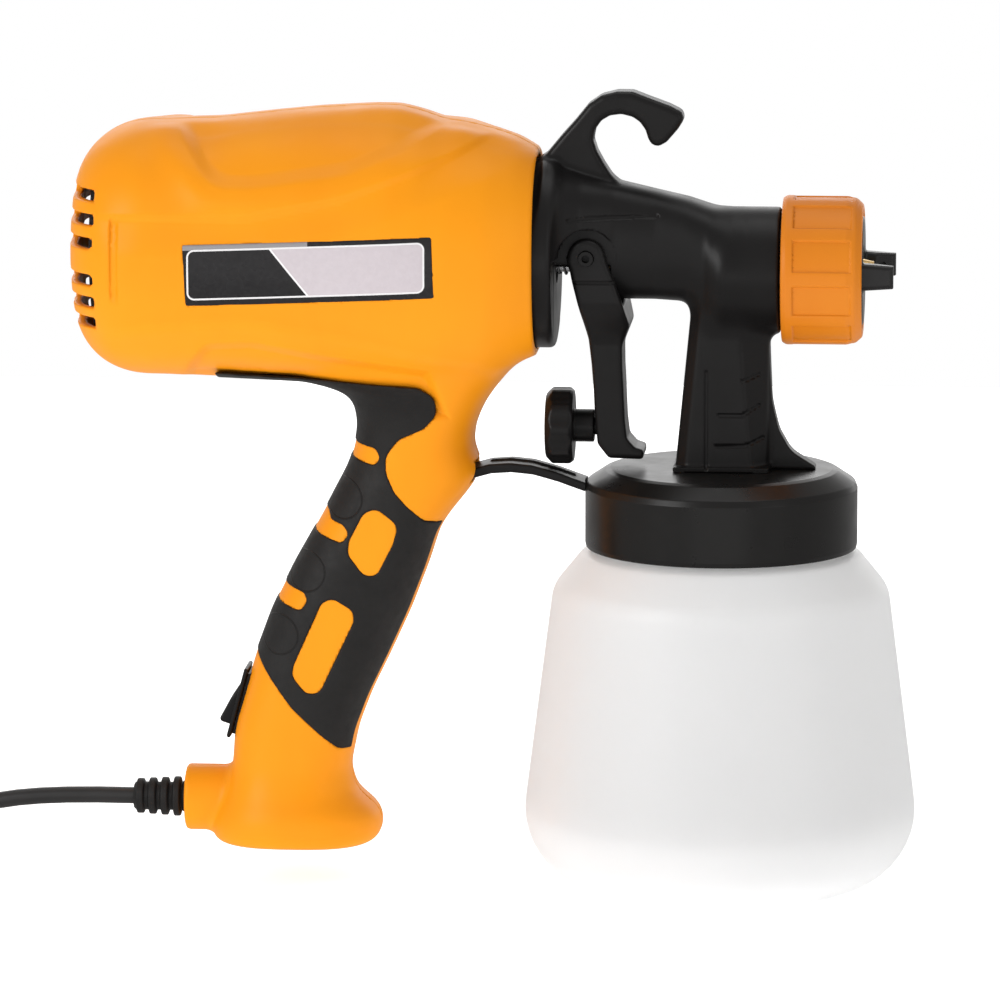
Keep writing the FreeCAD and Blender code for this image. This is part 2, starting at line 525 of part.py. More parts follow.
def build_casing():
    """Two casing shells, the soft grip over the handle, the badge plates and the casing screws."""
    outer = casing_outer()
    under_grip = casing_outer(size("grip_depth"))
    handle_core = column_solid(
        [(z + (6.0 if z < 14 else 0), *rest) for z, *rest in HANDLE[:-1]], size("grip_depth") + 2.2
    )
    barrel_core = barrel_solid(
        [(BARREL[0][0] + 3.0, *BARREL[0][1:]), *BARREL[1:-1], (-64.6, *BARREL[-1][1:])], size("shell_wall")
    )
    hollow = fused([handle_core, barrel_core])
    motor_z = size("motor_z")
    ribs = []
    for start in (-159.0, -139.0):
        slab = box_shape((start, -60, 160), (start + 3.0, 60, 270)).common(barrel_core)
        ribs.append(slab.cut(rod_shape(33.4, (start - 1, 0, motor_z), (start + 4, 0, motor_z))))
    posts = [
        rod_shape(size("boss_rad"), (x, -26, z), (x, 26, z)).common(outer) for x, z in SCREW_PLACES
    ]
    region = plate_shape(GRIP_REGION, 60)
    windows = [smooth_plate(points, 60) for points in GRIP_WINDOWS.values()]
    grip_zone = region.cut(windows).common(box_shape((-175, -35, 40), (-70, 35, 172)))
    grip_zone = grip_zone.cut(barrel_solid(BARREL, 0.0))
    grip_skin = outer.common(grip_zone).cut(under_grip)
    mouth_z = motor_z - 1.6
    boss_z, boss_end, clamp_x = size("boss_z"), size("boss_end"), size("clamp_x")
    clamp_posts = [rod_shape(3.2, (clamp_x, y, 14.0), (clamp_x, y, boss_z + 2.0)) for y in (-8.0, 8.0)]
    shell = outer.cut([hollow]).fuse([*ribs, *posts, *clamp_posts])
    cuts = [
        grip_skin,
        rod_shape(26.7, (-80, 0, mouth_z), (-50, 0, mouth_z)),
        rod_shape(29.6, (size("flange_back") - 1.1, 0, mouth_z), (-50, 0, mouth_z)),
        rod_shape(40.6, (-104.6, 0, motor_z), (-83.0, 0, motor_z)),
        box_shape((size("flange_back"), -60, 170), (-50, 60, 260)),
        switch_shape((-14, -6.6, -10.6), (10, 6.6, 10.6)),
        rod_shape(5.25, (-200, 0, boss_z), (boss_end + 4.15, 0, boss_z)),
        rod_shape(7.05, (boss_end + 4.15, 0, boss_z), (boss_end + 9.05, 0, boss_z)),
        rod_shape(6.0, (boss_end + 9, 0, boss_z), (-150, 0, boss_z)),
        *[rod_shape(1.4, (clamp_x, y, 20.0), (clamp_x, y, 40.0)) for y in (-8.0, 8.0)],
        box_shape((-86.5, -7.7, 135.6), (-70, 7.7, 140.4)),
        *rear_vents(),
    ]
    for x, z in SCREW_PLACES:
        cuts.append(rod_shape(size("screw_rad"), (x, -18, z), (x, 60, z)))
        cuts.append(rod_shape(3.3, (x, 14, z), (x, 60, z)))
    for side in (-1, 1):
        low, high = sorted((side * 43.6, side * 60))
        cuts.append(badge_outline(low, high))
    shell = shell.cut(cuts)
    halves = {"near": box_shape((-300, -80, 0), (0, 0, 300)), "far": box_shape((-300, 0, 0), (0, 80, 300))}
    for name, half in halves.items():
        shape_node(f"casing_{name}", biggest(shell.common(half)))
    for name, half in halves.items():
        shape_node(f"grip_{name}", biggest(grip_skin.common(half)))
    for name, side in (("near", -1), ("far", 1)):
        low, high = sorted((side * 43.6, side * 45.0))
        shape_node(f"badge_{name}", badge_outline(low, high))
    screws = []
    for x, z in SCREW_PLACES:
        shank = rod_shape(size("screw_rad"), (x, -12, z), (x, 14, z))
        head = rod_shape(2.9, (x, 14, z), (x, 16.2, z))
        cross = [box_shape((x - 2, 15.2, z - 0.4), (x + 2, 17, z + 0.4)),
                 box_shape((x - 0.4, 15.2, z - 2), (x + 0.4, 17, z + 2))]
        screws.append(shank.fuse(head).cut(cross))
    shape_node("casing_screws", Part.makeCompound(screws))


def badge_outline(low, high):
    """The long side badge between two Y levels, rising slightly to the front."""
    half_long, half_tall = size("badge_half_long"), size("badge_half_tall")
    badge = box_shape((-half_long, low, -half_tall), (half_long, high, half_tall))
    badge.rotate(Vector(0, 0, 0), Vector(0, 1, 0), -size("badge_tilt"))
    badge.translate(Vector(size("badge_x"), 0, size("badge_z")))
    return badge


def biggest(shape):
    """The largest solid of a shape, without slivers left by a boolean."""
    return max(shape.Solids, key=lambda solid: solid.Volume)


# ---------------------------------------------------------------- motor and blower

def build_motor():
    """The universal motor on rubber rings, with its one-stage centrifugal fan."""
    axis = ("motor_z", 0)
    shaft = ("shaft_rad", 0)
    turned("motor_shaft", "X", [
        (-191, 0), (-191, shaft), (-84, shaft), (-84, 3.0), (-79, 3.0), (-79, 0),
    ], axis)
    turned("armature_core", "X", ring(-162, -130, ("armature_rad", 0), shaft), axis)
    shape_node("armature_windings", Part.makeCompound([
        tube_shape(-166.5, -162, 15.0, 6.0), tube_shape(-130, -125.5, 15.0, 6.0),
    ]))
    turned("commutator", "X", ring(-179, -169, 9.0, shaft), axis)
    turned("rear_bearing", "X", ring(-189, -182, 11.0, ("shaft_rad", 0.03)), axis)
    turned("front_bearing", "X", ring(-119, -112, 11.0, ("shaft_rad", 0.03)), axis)
    turned("stator_core", "X", ring(-162, -130, ("stator_rad", 0), ("stator_bore", 0)), axis)
    shape_node("field_windings", Part.makeCompound([
        tube_shape(-168.5, -162, 25.0, 18.4), tube_shape(-130, -123.5, 25.0, 18.4),
    ]))
    turned("rear_bracket", "X", [
        (-192, 7), (-192, 14), (-186, 14), (-186, 27), (-180, 27), (-180, 24.5), (-182, 24.5),
        (-182, 11), (-189, 11), (-189, 7),
    ], axis)
    turned("front_bracket", "X", [
        (-121.5, 11), (-121.5, 27), (-119, 27), (-119, 30), (-109.5, 30), (-109.5, 7), (-112, 7), (-112, 11),
    ], axis)
    motor_z = size("motor_z")
    holders = []
    brushes = []
    for side in (-1, 1):
        brush = box_shape((-177.2, -2.5, 0), (-170.8, 2.5, 11.0))
        brush.translate(Vector(0, 0, 9.35 if side > 0 else -20.35))
        sleeve = box_shape((-178.2, -3.5, 0), (-169.8, 3.5, 13.0))
        sleeve.translate(Vector(0, 0, 11.0 if side > 0 else -24.0))
        channel = box_shape((-177.2, -2.5, -30), (-170.8, 2.5, 30))
        holders.append(sleeve.cut(channel))
        brushes.append(brush)
    for label, shapes in (("brush_holders", holders), ("carbon_brushes", brushes)):
        group = Part.makeCompound(shapes)
        group.translate(Vector(0, 0, motor_z))
        shape_node(label, group)
    shape_node("mount_rings", Part.makeCompound([
        tube_shape(-159, -156, 33.4, 27.0), tube_shape(-139, -136, 33.4, 27.0),
    ]))
    shape_node("fan_impeller", impeller(motor_z))
    turned("fan_shroud", "X", [
        (-104.6, 15), (-104.6, 40.4), (-84.0, 40.4), (-84.0, 38.4), (-103.0, 38.4), (-103.0, 15),
    ], axis)
    turned("intake_filter", "X", ring(-205.0, -199.0, 31.0, 0), axis)


def tube_shape(start, end, outer, inner):
    """A sleeve about the motor's axis."""
    z = size("motor_z")
    bore = rod_shape(inner, (start - 1, 0, z), (end + 1, 0, z))
    return rod_shape(outer, (start, 0, z), (end, 0, z)).cut(bore)


def impeller(axis_z):
    """A back plate, hub and nine swept blades."""
    fan_rad, hub = size("fan_rad"), 8.0
    plate = tube_shape(-88.6, -87.0, fan_rad, size("shaft_rad"))
    boss = tube_shape(-98.0, -84.5, hub, size("shaft_rad"))
    blades = []
    for index in range(9):
        blade = box_shape((-100.5, -0.7, 13.0), (-88.0, 0.7, fan_rad - 1.0))
        blade.rotate(Vector(0, 0, 13.0), Vector(1, 0, 0), 28)
        blade.translate(Vector(0, 0, axis_z))
        blade.rotate(Vector(0, 0, axis_z), Vector(1, 0, 0), index * 40)
        blades.append(blade)
    solid = fused([plate, boss, *blades])
    return solid.common(rod_shape(fan_rad, (-110, 0, axis_z), (-80, 0, axis_z)))


# ---------------------------------------------------------------- switch, leads and cord

def bent_rod(points, radius):
    """Straight runs joined by tangent arcs, swept with a round section; prints the arcs' radii."""
    points = [Vector(*point) for point in points]
    edges, radii, start = [], [], points[0]
    for before, corner, after in zip(points, points[1:], points[2:]):
        inward, outward = (before - corner), (after - corner)
        turn = math.pi - inward.getAngle(outward)
        reach = 0.45 * min(inward.Length, outward.Length)
        arc_rad = reach / math.tan(turn / 2)
        first = corner + inward.normalize() * reach
        last = corner + outward.normalize() * reach
        middle = corner + (inward + outward).normalize() * (arc_rad / math.cos(turn / 2) - arc_rad)
        edges.append(Part.LineSegment(start, first).toShape())
        edges.append(Part.Arc(first, middle, last).toShape())
        radii.append(round(arc_rad))
        start = last
    edges.append(Part.LineSegment(start, points[-1]).toShape())
    path = Part.Wire(edges)
    section = Part.Wire(Part.makeCircle(radius, points[0], points[1] - points[0]))
    solid = path.makePipeShell([section], True, False)
    print("radii", radii, "volume ratio", round(solid.Volume / (math.pi * radius ** 2 * path.Length), 4))
    return solid


CORD_ROUTE = [
    (-195.3, 0.0, 26.5), (-221.0, -0.4, 27.0), (-248.0, -1.6, 23.6), (-273.0, -3.6, 14.6),
    (-298.0, -6.2, 6.0), (-318.0, -8.0, 3.2), (-335.0, -8.0, 2.8),
]


def build_cord():
    """Strain relief, clamp, switch, leads, the loose cord, its coil and the two-pin plug."""
    boss_z = size("boss_z")
    profile = [
        (("boss_end", 9), ("cord_rad", 0)), (("boss_end", 9), 7.0), (("boss_end", 4.2), 7.0),
        (("boss_end", 4.2), 5.2), (("boss_end", 0), 5.2),
    ]
    for index in range(4):
        start = -180.6 - index * 4.1
        rib = 6.6 - index * 0.25
        profile += [(start + 0.9, 4.8), (start + 0.1, rib), (start - 2.2, rib), (start - 3.0, 4.8)]
    profile += [(("relief_end", 0), 4.2), (("relief_end", 0), ("cord_rad", 0))]
    turned("strain_relief", "X", profile, ("boss_z", 0))
    inner_cord = rod_shape(size("cord_rad"), (size("relief_end"), 0, boss_z), (-149.0, 0, boss_z))
    shape_node("cord_inside", inner_cord)
    clamp_x = size("clamp_x")
    clamp = box_shape((clamp_x - 3.0, -11.0, boss_z + 2.0), (clamp_x + 3.0, 11.0, boss_z + 5.0))
    saddle = rod_shape(size("cord_rad"), (clamp_x - 4.0, 0, boss_z), (clamp_x + 4.0, 0, boss_z))
    shape_node("cord_clamp", clamp.cut(saddle))
    screws = [rod_shape(1.4, (clamp_x, y, boss_z - 3), (clamp_x, y, boss_z + 5)).fuse(
        rod_shape(2.6, (clamp_x, y, boss_z + 5), (clamp_x, y, boss_z + 7))) for y in (-8.0, 8.0)]
    clamp_node = nodes[-1]
    clamp_node.Shape = clamp_node.Shape.cut(screws)
    shape_node("clamp_screws", Part.makeCompound(screws))
    bezel = switch_shape((-1.2, -7.6, -12.0), (0.2, 7.6, 12.0))
    housing = switch_shape((0.2, -6.5, -10.5), (13, 6.5, 10.5))
    pivot_bore = switch_axle(1.25, 6.3)
    frame = bezel.fuse(housing).cut([switch_shape((-3, -5.6, -9.4), (6.5, 5.6, 9.4)), pivot_bore])
    shape_node("switch_frame", frame)
    rocker = plate_shape([(-0.6, 8.2), (-3.2, 0.4), (-5.2, -7.9), (1.0, -8.2), (4.6, 0.0), (3.2, 8.2)], 5.2)
    rocker.rotate(Vector(0, 0, 0), Vector(0, 1, 0), SWITCH_TILT)
    rocker.translate(SWITCH_PLACE)
    shape_node("switch_rocker", rocker.fuse(switch_axle(1.2, 6.2)))
    shape_node("capacitor", box_shape((-140.0, -7.0, 84.0), (-126.0, 7.0, 98.0)))
    shape_node("power_leads", Part.makeCompound([
        bent_rod([(-149.0, y, boss_z), (-145.5, y, boss_z), (-143.2, y, 35.0), (-143.2, y, 50.0),
                  (-144.6, y, 61.0)], 0.9)
        for y in (-1.4, 1.4)
    ]))
    shape_node("motor_leads", Part.makeCompound([
        bent_rod([(-143.8, 4 * side, 65.5), (-131.0, 6 * side, 72.0), (-120.0, 9.5 * side, 98.0),
                  (-109.0, 9.5 * side, 124.0), (-101.5, 9.5 * side, 148.0), (-111.0, 9.5 * side, 171.0),
                  (-126.6, 9.5 * side, 174.5), (-126.6, 9.5 * side, 188.7)], 0.9)
        for side in (-1, 1)
    ]))
    shape_node("cord_tube", bent_rod(CORD_ROUTE, size("cord_rad")))
    mean, rad = size("coil_mean_rad"), size("cord_rad")
    coil = doc.addObject("Part::Feature", "cord_coil")
    outer, inner, tall = mean + 4 * rad, mean - 4 * rad, 4 * rad
    middle = Vector(size("coil_x"), size("coil_y"), 0)
    coil.Shape = Part.makeCylinder(outer, tall, middle).cut(Part.makeCylinder(inner, tall, middle))
    kept(coil, "cord_coil")
    exit_y = size("coil_y") + mean + 3 * rad
    top_turn, level = 3 * rad, size("plug_half")
    collar = size("plug_collar")
    shape_node("cord_tail", bent_rod([
        (size("coil_x"), exit_y, top_turn), (-327.0, exit_y, top_turn), (-318.0, exit_y, level),
        (collar, exit_y, level),
    ], rad))
    shape_node("plug_body", two_pin_plug(exit_y, level, collar))
    shape_node("plug_pins", Part.makeCompound([
        rod_shape(2.0, (-274.0, exit_y + side * size("pin_pitch") / 2, level),
                  (-255.0, exit_y + side * size("pin_pitch") / 2, level)) for side in (-1, 1)
    ]))


def switch_axle(radius, half):
    """The rocker's round axle across the handle."""
    axle = rod_shape(radius, (2.0, -half, 0), (2.0, half, 0))
    axle.rotate(Vector(0, 0, 0), Vector(0, 1, 0), SWITCH_TILT)
    axle.translate(SWITCH_PLACE)
    return axle


def two_pin_plug(middle_y, level, collar):
    """The flat two-pin plug: a tapered body with its cord collar, lying on its broad side."""
    stations = [
        (-304.0, 6.0, 5.4), (-292.0, 9.5, 7.0), (-284.0, 15.5, size("plug_half")),
        (-274.0, 17.6, size("plug_half")),
    ]
    wires = [
        rounded_wire((middle_y - half, level - thick), (middle_y + half, level + thick), 5.0,
                     lambda y, z, x=x: Vector(x, y, z))
        for x, half, thick in stations
    ]
    body = Part.makeLoft(wires, True, True)
    return body.fuse(rod_shape(4.6, (collar, middle_y, level), (-304.0, middle_y, level)))


build_cup()
build_gun_body()
build_trigger()
build_needle()
build_nozzle()
build_casing()
build_motor()
build_cord()

doc.recompute()
for thing in doc.Objects:
    if "Invalid" in thing.State or "Error" in thing.State:
        raise RuntimeError(f"{thing.Label} failed: {thing.State}")
os.makedirs("parts", exist_ok=True)
for node in nodes:
    if node.Shape.isNull() or not node.Shape.isValid():
        raise RuntimeError(f"{node.Label} has no valid shape")
    node.Shape.exportStep(f"parts/{node.Label}.step")
print(len(nodes), "sub-parts")
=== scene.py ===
"""Looks of an electric spray gun with a paint cup, built round its fixed CAD frame.

Shapes are worked out in millimetres as signed distances or turned profiles, and meshed in metres.
"""

import math

import bpy
import numpy as np
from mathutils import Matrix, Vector


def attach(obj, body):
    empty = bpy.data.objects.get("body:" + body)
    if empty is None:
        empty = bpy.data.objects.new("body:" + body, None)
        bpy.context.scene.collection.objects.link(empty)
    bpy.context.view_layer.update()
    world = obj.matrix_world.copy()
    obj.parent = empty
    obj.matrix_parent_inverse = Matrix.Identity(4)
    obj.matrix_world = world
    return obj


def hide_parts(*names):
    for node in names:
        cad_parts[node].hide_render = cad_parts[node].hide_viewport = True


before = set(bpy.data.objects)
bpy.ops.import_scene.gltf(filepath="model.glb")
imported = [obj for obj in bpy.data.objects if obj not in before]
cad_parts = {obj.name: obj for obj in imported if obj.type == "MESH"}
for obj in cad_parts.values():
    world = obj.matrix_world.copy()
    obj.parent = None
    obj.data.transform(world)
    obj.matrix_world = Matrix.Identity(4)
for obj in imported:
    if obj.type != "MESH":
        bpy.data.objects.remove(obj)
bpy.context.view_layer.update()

MM = 0.001
FINE = 1.0
SPRAY_Z = 205.6
PIVOT = (-43.7, 210.9)
KNOB_Z = 153.2
CORD_RAD = 2.8
COIL_X, COIL_Y, COIL_RAD = -335.0, 33.4, 33.0

# ---------------------------------------------------------------- camera, lights and floor


def studio():
    """Camera at the picture's angle, a white floor, and soft lights."""
    scene = bpy.context.scene
    scene.view_settings.view_transform = "Standard"
    azimuth, elevation, distance, wide = math.radians(4.5), math.radians(9.5), 2.5, 0.330
    back = Vector((math.sin(azimuth) * math.cos(elevation), -math.cos(azimuth) * math.cos(elevation),
                   math.sin(elevation)))
    camera = bpy.data.objects.new("camera", bpy.data.cameras.new("camera"))
    scene.collection.objects.link(camera)
    camera.location = Vector((-0.0731, 0, 0.1279)) + back * distance
    camera.rotation_mode = "QUATERNION"
    camera.rotation_quaternion = (-back).to_track_quat("-Z", "Y")
    camera.data.sensor_width = 36.0
    camera.data.lens = 36.0 * distance / wide
    scene.camera = camera

    world = bpy.data.worlds.new("studio")
    scene.world = world
    world.use_nodes = True
    nodes, links = world.node_tree.nodes, world.node_tree.links
    nodes.clear()
    out = nodes.new("ShaderNodeOutputWorld")
    mix = nodes.new("ShaderNodeMixShader")
    path = nodes.new("ShaderNodeLightPath")
    seen = nodes.new("ShaderNodeBackground")
    seen.inputs[0].default_value = (1, 1, 1, 1)
    seen.inputs[1].default_value = 1.0
    lit = nodes.new("ShaderNodeBackground")
    lit.inputs[0].default_value = (1, 0.99, 0.98, 1)
    lit.inputs[1].default_value = 0.46
    links.new(path.outputs["Is Camera Ray"], mix.inputs[0])
    links.new(lit.outputs[0], mix.inputs[1])
    links.new(seen.outputs[0], mix.inputs[2])
    links.new(mix.outputs[0], out.inputs[0])

    def softbox(name, place, power, width, height):
        light = bpy.data.objects.new(name, bpy.data.lights.new(name, "AREA"))
        light.data.shape = "RECTANGLE"
        light.data.size = width
        light.data.size_y = height
        light.data.energy = power
        light.location = place
        light.rotation_mode = "QUATERNION"
        light.rotation_quaternion = (Vector((-0.07, 0, 0.13)) - Vector(place)).to_track_quat("-Z", "Y")
        scene.collection.objects.link(light)

    softbox("key", (-1.1, -1.1, 0.7), 9.5, 0.7, 0.7)
    softbox("fill", (1.1, -1.0, 0.45), 1.4, 0.5, 0.9)
    softbox("top", (0.0, 0.1, 1.4), 3.2, 1.2, 0.6)
    softbox("back", (-0.3, 1.3, 0.8), 3.0, 1.2, 0.6)
    softbox("low", (0.0, -1.3, 0.05), 1.0, 1.2, 0.25)
    softbox("horizon", (0.0, 1.7, 0.38), 3.6, 2.0, 0.6)

    floor = bpy.data.meshes.new("floor")
    reach = 1.1
    floor.from_pydata([(-reach, -reach, 0), (reach, -reach, 0), (reach, reach, 0), (-reach, reach, 0)],
                      [], [(0, 1, 2, 3)])
    ground = bpy.data.objects.new("floor", floor)
    scene.collection.objects.link(ground)
    ground.location.z = -0.0002
    ground.data.materials.append(floor_material())
    ground.visible_glossy = False


def floor_material():
    material = bpy.data.materials.new("studio_floor")
    material.use_nodes = True
    nodes, links = material.node_tree.nodes, material.node_tree.links
    shader = nodes["Principled BSDF"]
    noise = nodes.new("ShaderNodeTexNoise")
    noise.inputs["Scale"].default_value = 3.0
    ramp = nodes.new("ShaderNodeMapRange")
    ramp.inputs["To Min"].default_value = 0.6
    ramp.inputs["To Max"].default_value = 0.7
    links.new(noise.outputs[0], ramp.inputs[0])
    links.new(ramp.outputs[0], shader.inputs["Roughness"])
    shader.inputs["Base Color"].default_value = (0.97, 0.97, 0.97, 1)
    shader.inputs["Specular IOR Level"].default_value = 0.1
    shader.inputs["Emission Color"].default_value = (1, 1, 1, 1)
    shader.inputs["Emission Strength"].default_value = 0.62
    return material


# ---------------------------------------------------------------- materials


class Nodes:
    """A short way to write a procedural material on object coordinates in millimetres."""

    def __init__(self, name):
        self.material = bpy.data.materials.new(name)
        self.material.use_nodes = True
        self.tree = self.material.node_tree
        self.shader = self.tree.nodes["Principled BSDF"]
        place = self.tree.nodes.new("ShaderNodeTexCoord")
        scale = self.tree.nodes.new("ShaderNodeVectorMath")
        scale.operation = "SCALE"
        scale.inputs["Scale"].default_value = 1000.0
        self.link(place.outputs["Object"], scale.inputs[0])
        self.place = scale.outputs[0]

    def link(self, start, end):
        self.tree.links.new(start, end)

    def put(self, socket, value):
        if hasattr(value, "is_output"):
            self.link(value, socket)
        else:
            socket.default_value = value

    def noise(self, size_mm, detail=2.0, stretch=None):
        """Noise of about 0 to 1, with features size_mm across."""
        node = self.tree.nodes.new("ShaderNodeTexNoise")
        node.inputs["Scale"].default_value = 1.0 / size_mm
        node.inputs["Detail"].default_value = detail
        place = self.place
        if stretch:
            mapping = self.tree.nodes.new("ShaderNodeMapping")
            mapping.inputs["Scale"].default_value = stretch
            self.link(place, mapping.inputs[0])
            place = mapping.outputs[0]
        self.link(place, node.inputs["Vector"])
        return node.outputs[0]

    def cells(self, size_mm):
        node = self.tree.nodes.new("ShaderNodeTexVoronoi")
        node.inputs["Scale"].default_value = 1.0 / size_mm
        self.link(self.place, node.inputs["Vector"])
        return node.outputs["Distance"]

    def math(self, operation, *values):
        node = self.tree.nodes.new("ShaderNodeMath")
        node.operation = operation
        for socket, value in zip(node.inputs, values):
            self.put(socket, value)
        return node.outputs[0]

    def spread(self, value, low, high, source=(0.3, 0.7)):
        """value, from source's range, as a number between low and high."""
        node = self.tree.nodes.new("ShaderNodeMapRange")
        limits = {"From Min": source[0], "From Max": source[1], "To Min": low, "To Max": high}
        for name, number in limits.items():
            node.inputs[name].default_value = number
        self.link(value, node.inputs[0])
        return node.outputs[0]

    def mix(self, share, first, second):
        node = self.tree.nodes.new("ShaderNodeMix")
        node.data_type = "RGBA"
        self.put(node.inputs[0], share)
        for socket, colour in ((node.inputs[6], first), (node.inputs[7], second)):
            self.put(socket, colour if hasattr(colour, "is_output") else (*colour, 1))
        return node.outputs[2]

    def axis(self, letter):
        node = self.tree.nodes.new("ShaderNodeSeparateXYZ")
        self.link(self.place, node.inputs[0])
        return node.outputs[letter]

    def bump(self, height, depth_mm):
        node = self.tree.nodes.new("ShaderNodeBump")
        node.inputs["Distance"].default_value = depth_mm * MM
        node.inputs["Strength"].default_value = 1.0
        self.link(height, node.inputs["Height"])
        self.link(node.outputs[0], self.shader.inputs["Normal"])

    def set(self, **values):
        for name, value in values.items():
            self.put(self.shader.inputs[name.replace("_", " ")], value)
        return self.material


def plastic(name, colour, deep, rough, grain_mm=0.35, grain_depth=0.012, specular=0.5):
    """Moulded plastic: slight flow marks in the colour, uneven gloss and a fine moulded grain."""
    made = Nodes(name)
    flow = made.noise(28.0, 3.0, (1.0, 1.0, 0.35))
    made.set(Base_Color=made.mix(made.spread(flow, 0.0, 1.0), colour, deep))
    made.set(Roughness=made.spread(made.noise(9.0, 4.0), rough - 0.04, rough + 0.05))
    made.bump(made.noise(grain_mm, 2.0), grain_depth)
    made.set(Specular_IOR_Level=specular)
    return made.material


def translucent_cup():
    """Blown polyethylene: milky, light passes in, faint waves from blowing, and a painted glow to even its
    shading.
    """
    made = Nodes("milky_polyethylene")
    cloud = made.noise(30.0, 3.0)
    made.set(Base_Color=made.mix(made.spread(cloud, 0.0, 1.0), (0.90, 0.90, 0.895), (0.87, 0.87, 0.865)))
    made.set(Roughness=made.spread(made.noise(7.0, 3.0), 0.34, 0.44))
    made.set(Subsurface_Weight=0.85, Subsurface_Scale=0.018, Subsurface_Radius=(1.0, 1.0, 0.97))
    made.set(Transmission_Weight=0.08, IOR=1.5, Specular_IOR_Level=0.35)
    # painted glow: a faint white emission stands in for light and evens out the bottle's shading
    made.set(Emission_Color=(1.0, 1.0, 1.0, 1.0), Emission_Strength=0.085)
    made.bump(made.noise(11.0, 2.0, (1.0, 1.0, 0.3)), 0.06)
    return made.material


def grip_rubber():
    """Soft moulded rubber with a fine matt grain and thin raised arcs round the finger pads."""
    made = Nodes("grip_rubber")
    made.set(Base_Color=made.mix(made.spread(made.noise(16.0, 3.0), 0.0, 1.0),
                                 (0.0105, 0.0098, 0.0095), (0.0150, 0.0142, 0.0138)))
    made.set(Roughness=made.spread(made.noise(3.0, 4.0), 0.50, 0.64), Specular_IOR_Level=0.30)
    arcs = None
    for centre_x, centre_z, radius in ((-123.4, 130.4, 6.4), (-135.7, 106.0, 6.4), (-144.7, 84.8, 6.4)):
        across = made.math("SUBTRACT", made.axis("X"), centre_x)
        along = made.math("SUBTRACT", made.axis("Z"), centre_z)
        far = made.math("SQRT", made.math("ADD", made.math("MULTIPLY", across, across),
                                          made.math("MULTIPLY", along, along)))
        off = made.math("ABSOLUTE", made.math("SUBTRACT", far, radius))
        line = made.math("SUBTRACT", 1.0, made.math("DIVIDE", off, 0.35))
        line = made.math("MAXIMUM", line, 0.0)
        arcs = line if arcs is None else made.math("MAXIMUM", arcs, line)
    grain = made.math("MULTIPLY", made.cells(0.45), 0.12)
    made.bump(made.math("ADD", arcs, grain), 0.22)
    return made.material


def metal(name, colour, rough, stretch):
    """Turned or drawn metal: fine lines along one direction and uneven polish."""
    made = Nodes(name)
    lines = made.noise(0.5, 3.0, stretch)
    dark = tuple(0.8 * channel for channel in colour)
    made.set(Base_Color=made.mix(made.spread(lines, 0.0, 1.0), colour, dark), Metallic=1.0)
    made.set(Roughness=made.spread(made.noise(4.0, 3.0), rough - 0.05, rough + 0.08))
    made.bump(lines, 0.01)
    return made.material


def windings():
    """Lacquered copper wire, wound round the axis."""
    made = Nodes("copper_windings")
    wave = made.tree.nodes.new("ShaderNodeTexWave")
    wave.inputs["Scale"].default_value = 0.5
    wave.inputs["Distortion"].default_value = 0.6
    made.link(made.place, wave.inputs["Vector"])
    turns = wave.outputs["Fac"]
    made.set(Base_Color=made.mix(turns, (0.30, 0.09, 0.02), (0.62, 0.24, 0.07)), Metallic=0.8)
    made.set(Roughness=made.spread(made.noise(2.0), 0.25, 0.4))
    made.bump(turns, 0.25)
    return made.material


def laminations():
    """Stacked steel sheets, seen as thin rings along the axis."""
    made = Nodes("steel_laminations")
    sheets = made.math("FRACT", made.math("MULTIPLY", made.axis("X"), 1.4))
    made.set(Base_Color=made.mix(sheets, (0.16, 0.16, 0.17), (0.34, 0.34, 0.35)), Metallic=0.9)
    made.set(Roughness=made.spread(made.noise(3.0), 0.35, 0.55))
    made.bump(sheets, 0.1)
    return made.material


def foam():
    """Open-cell filter foam."""
    made = Nodes("filter_foam")
    pores = made.cells(1.1)
    made.set(Base_Color=made.mix(pores, (0.01, 0.01, 0.011), (0.06, 0.06, 0.065)))
    made.set(Roughness=made.spread(made.noise(2.0), 0.85, 0.95))
    made.bump(pores, 0.5)
    return made.material


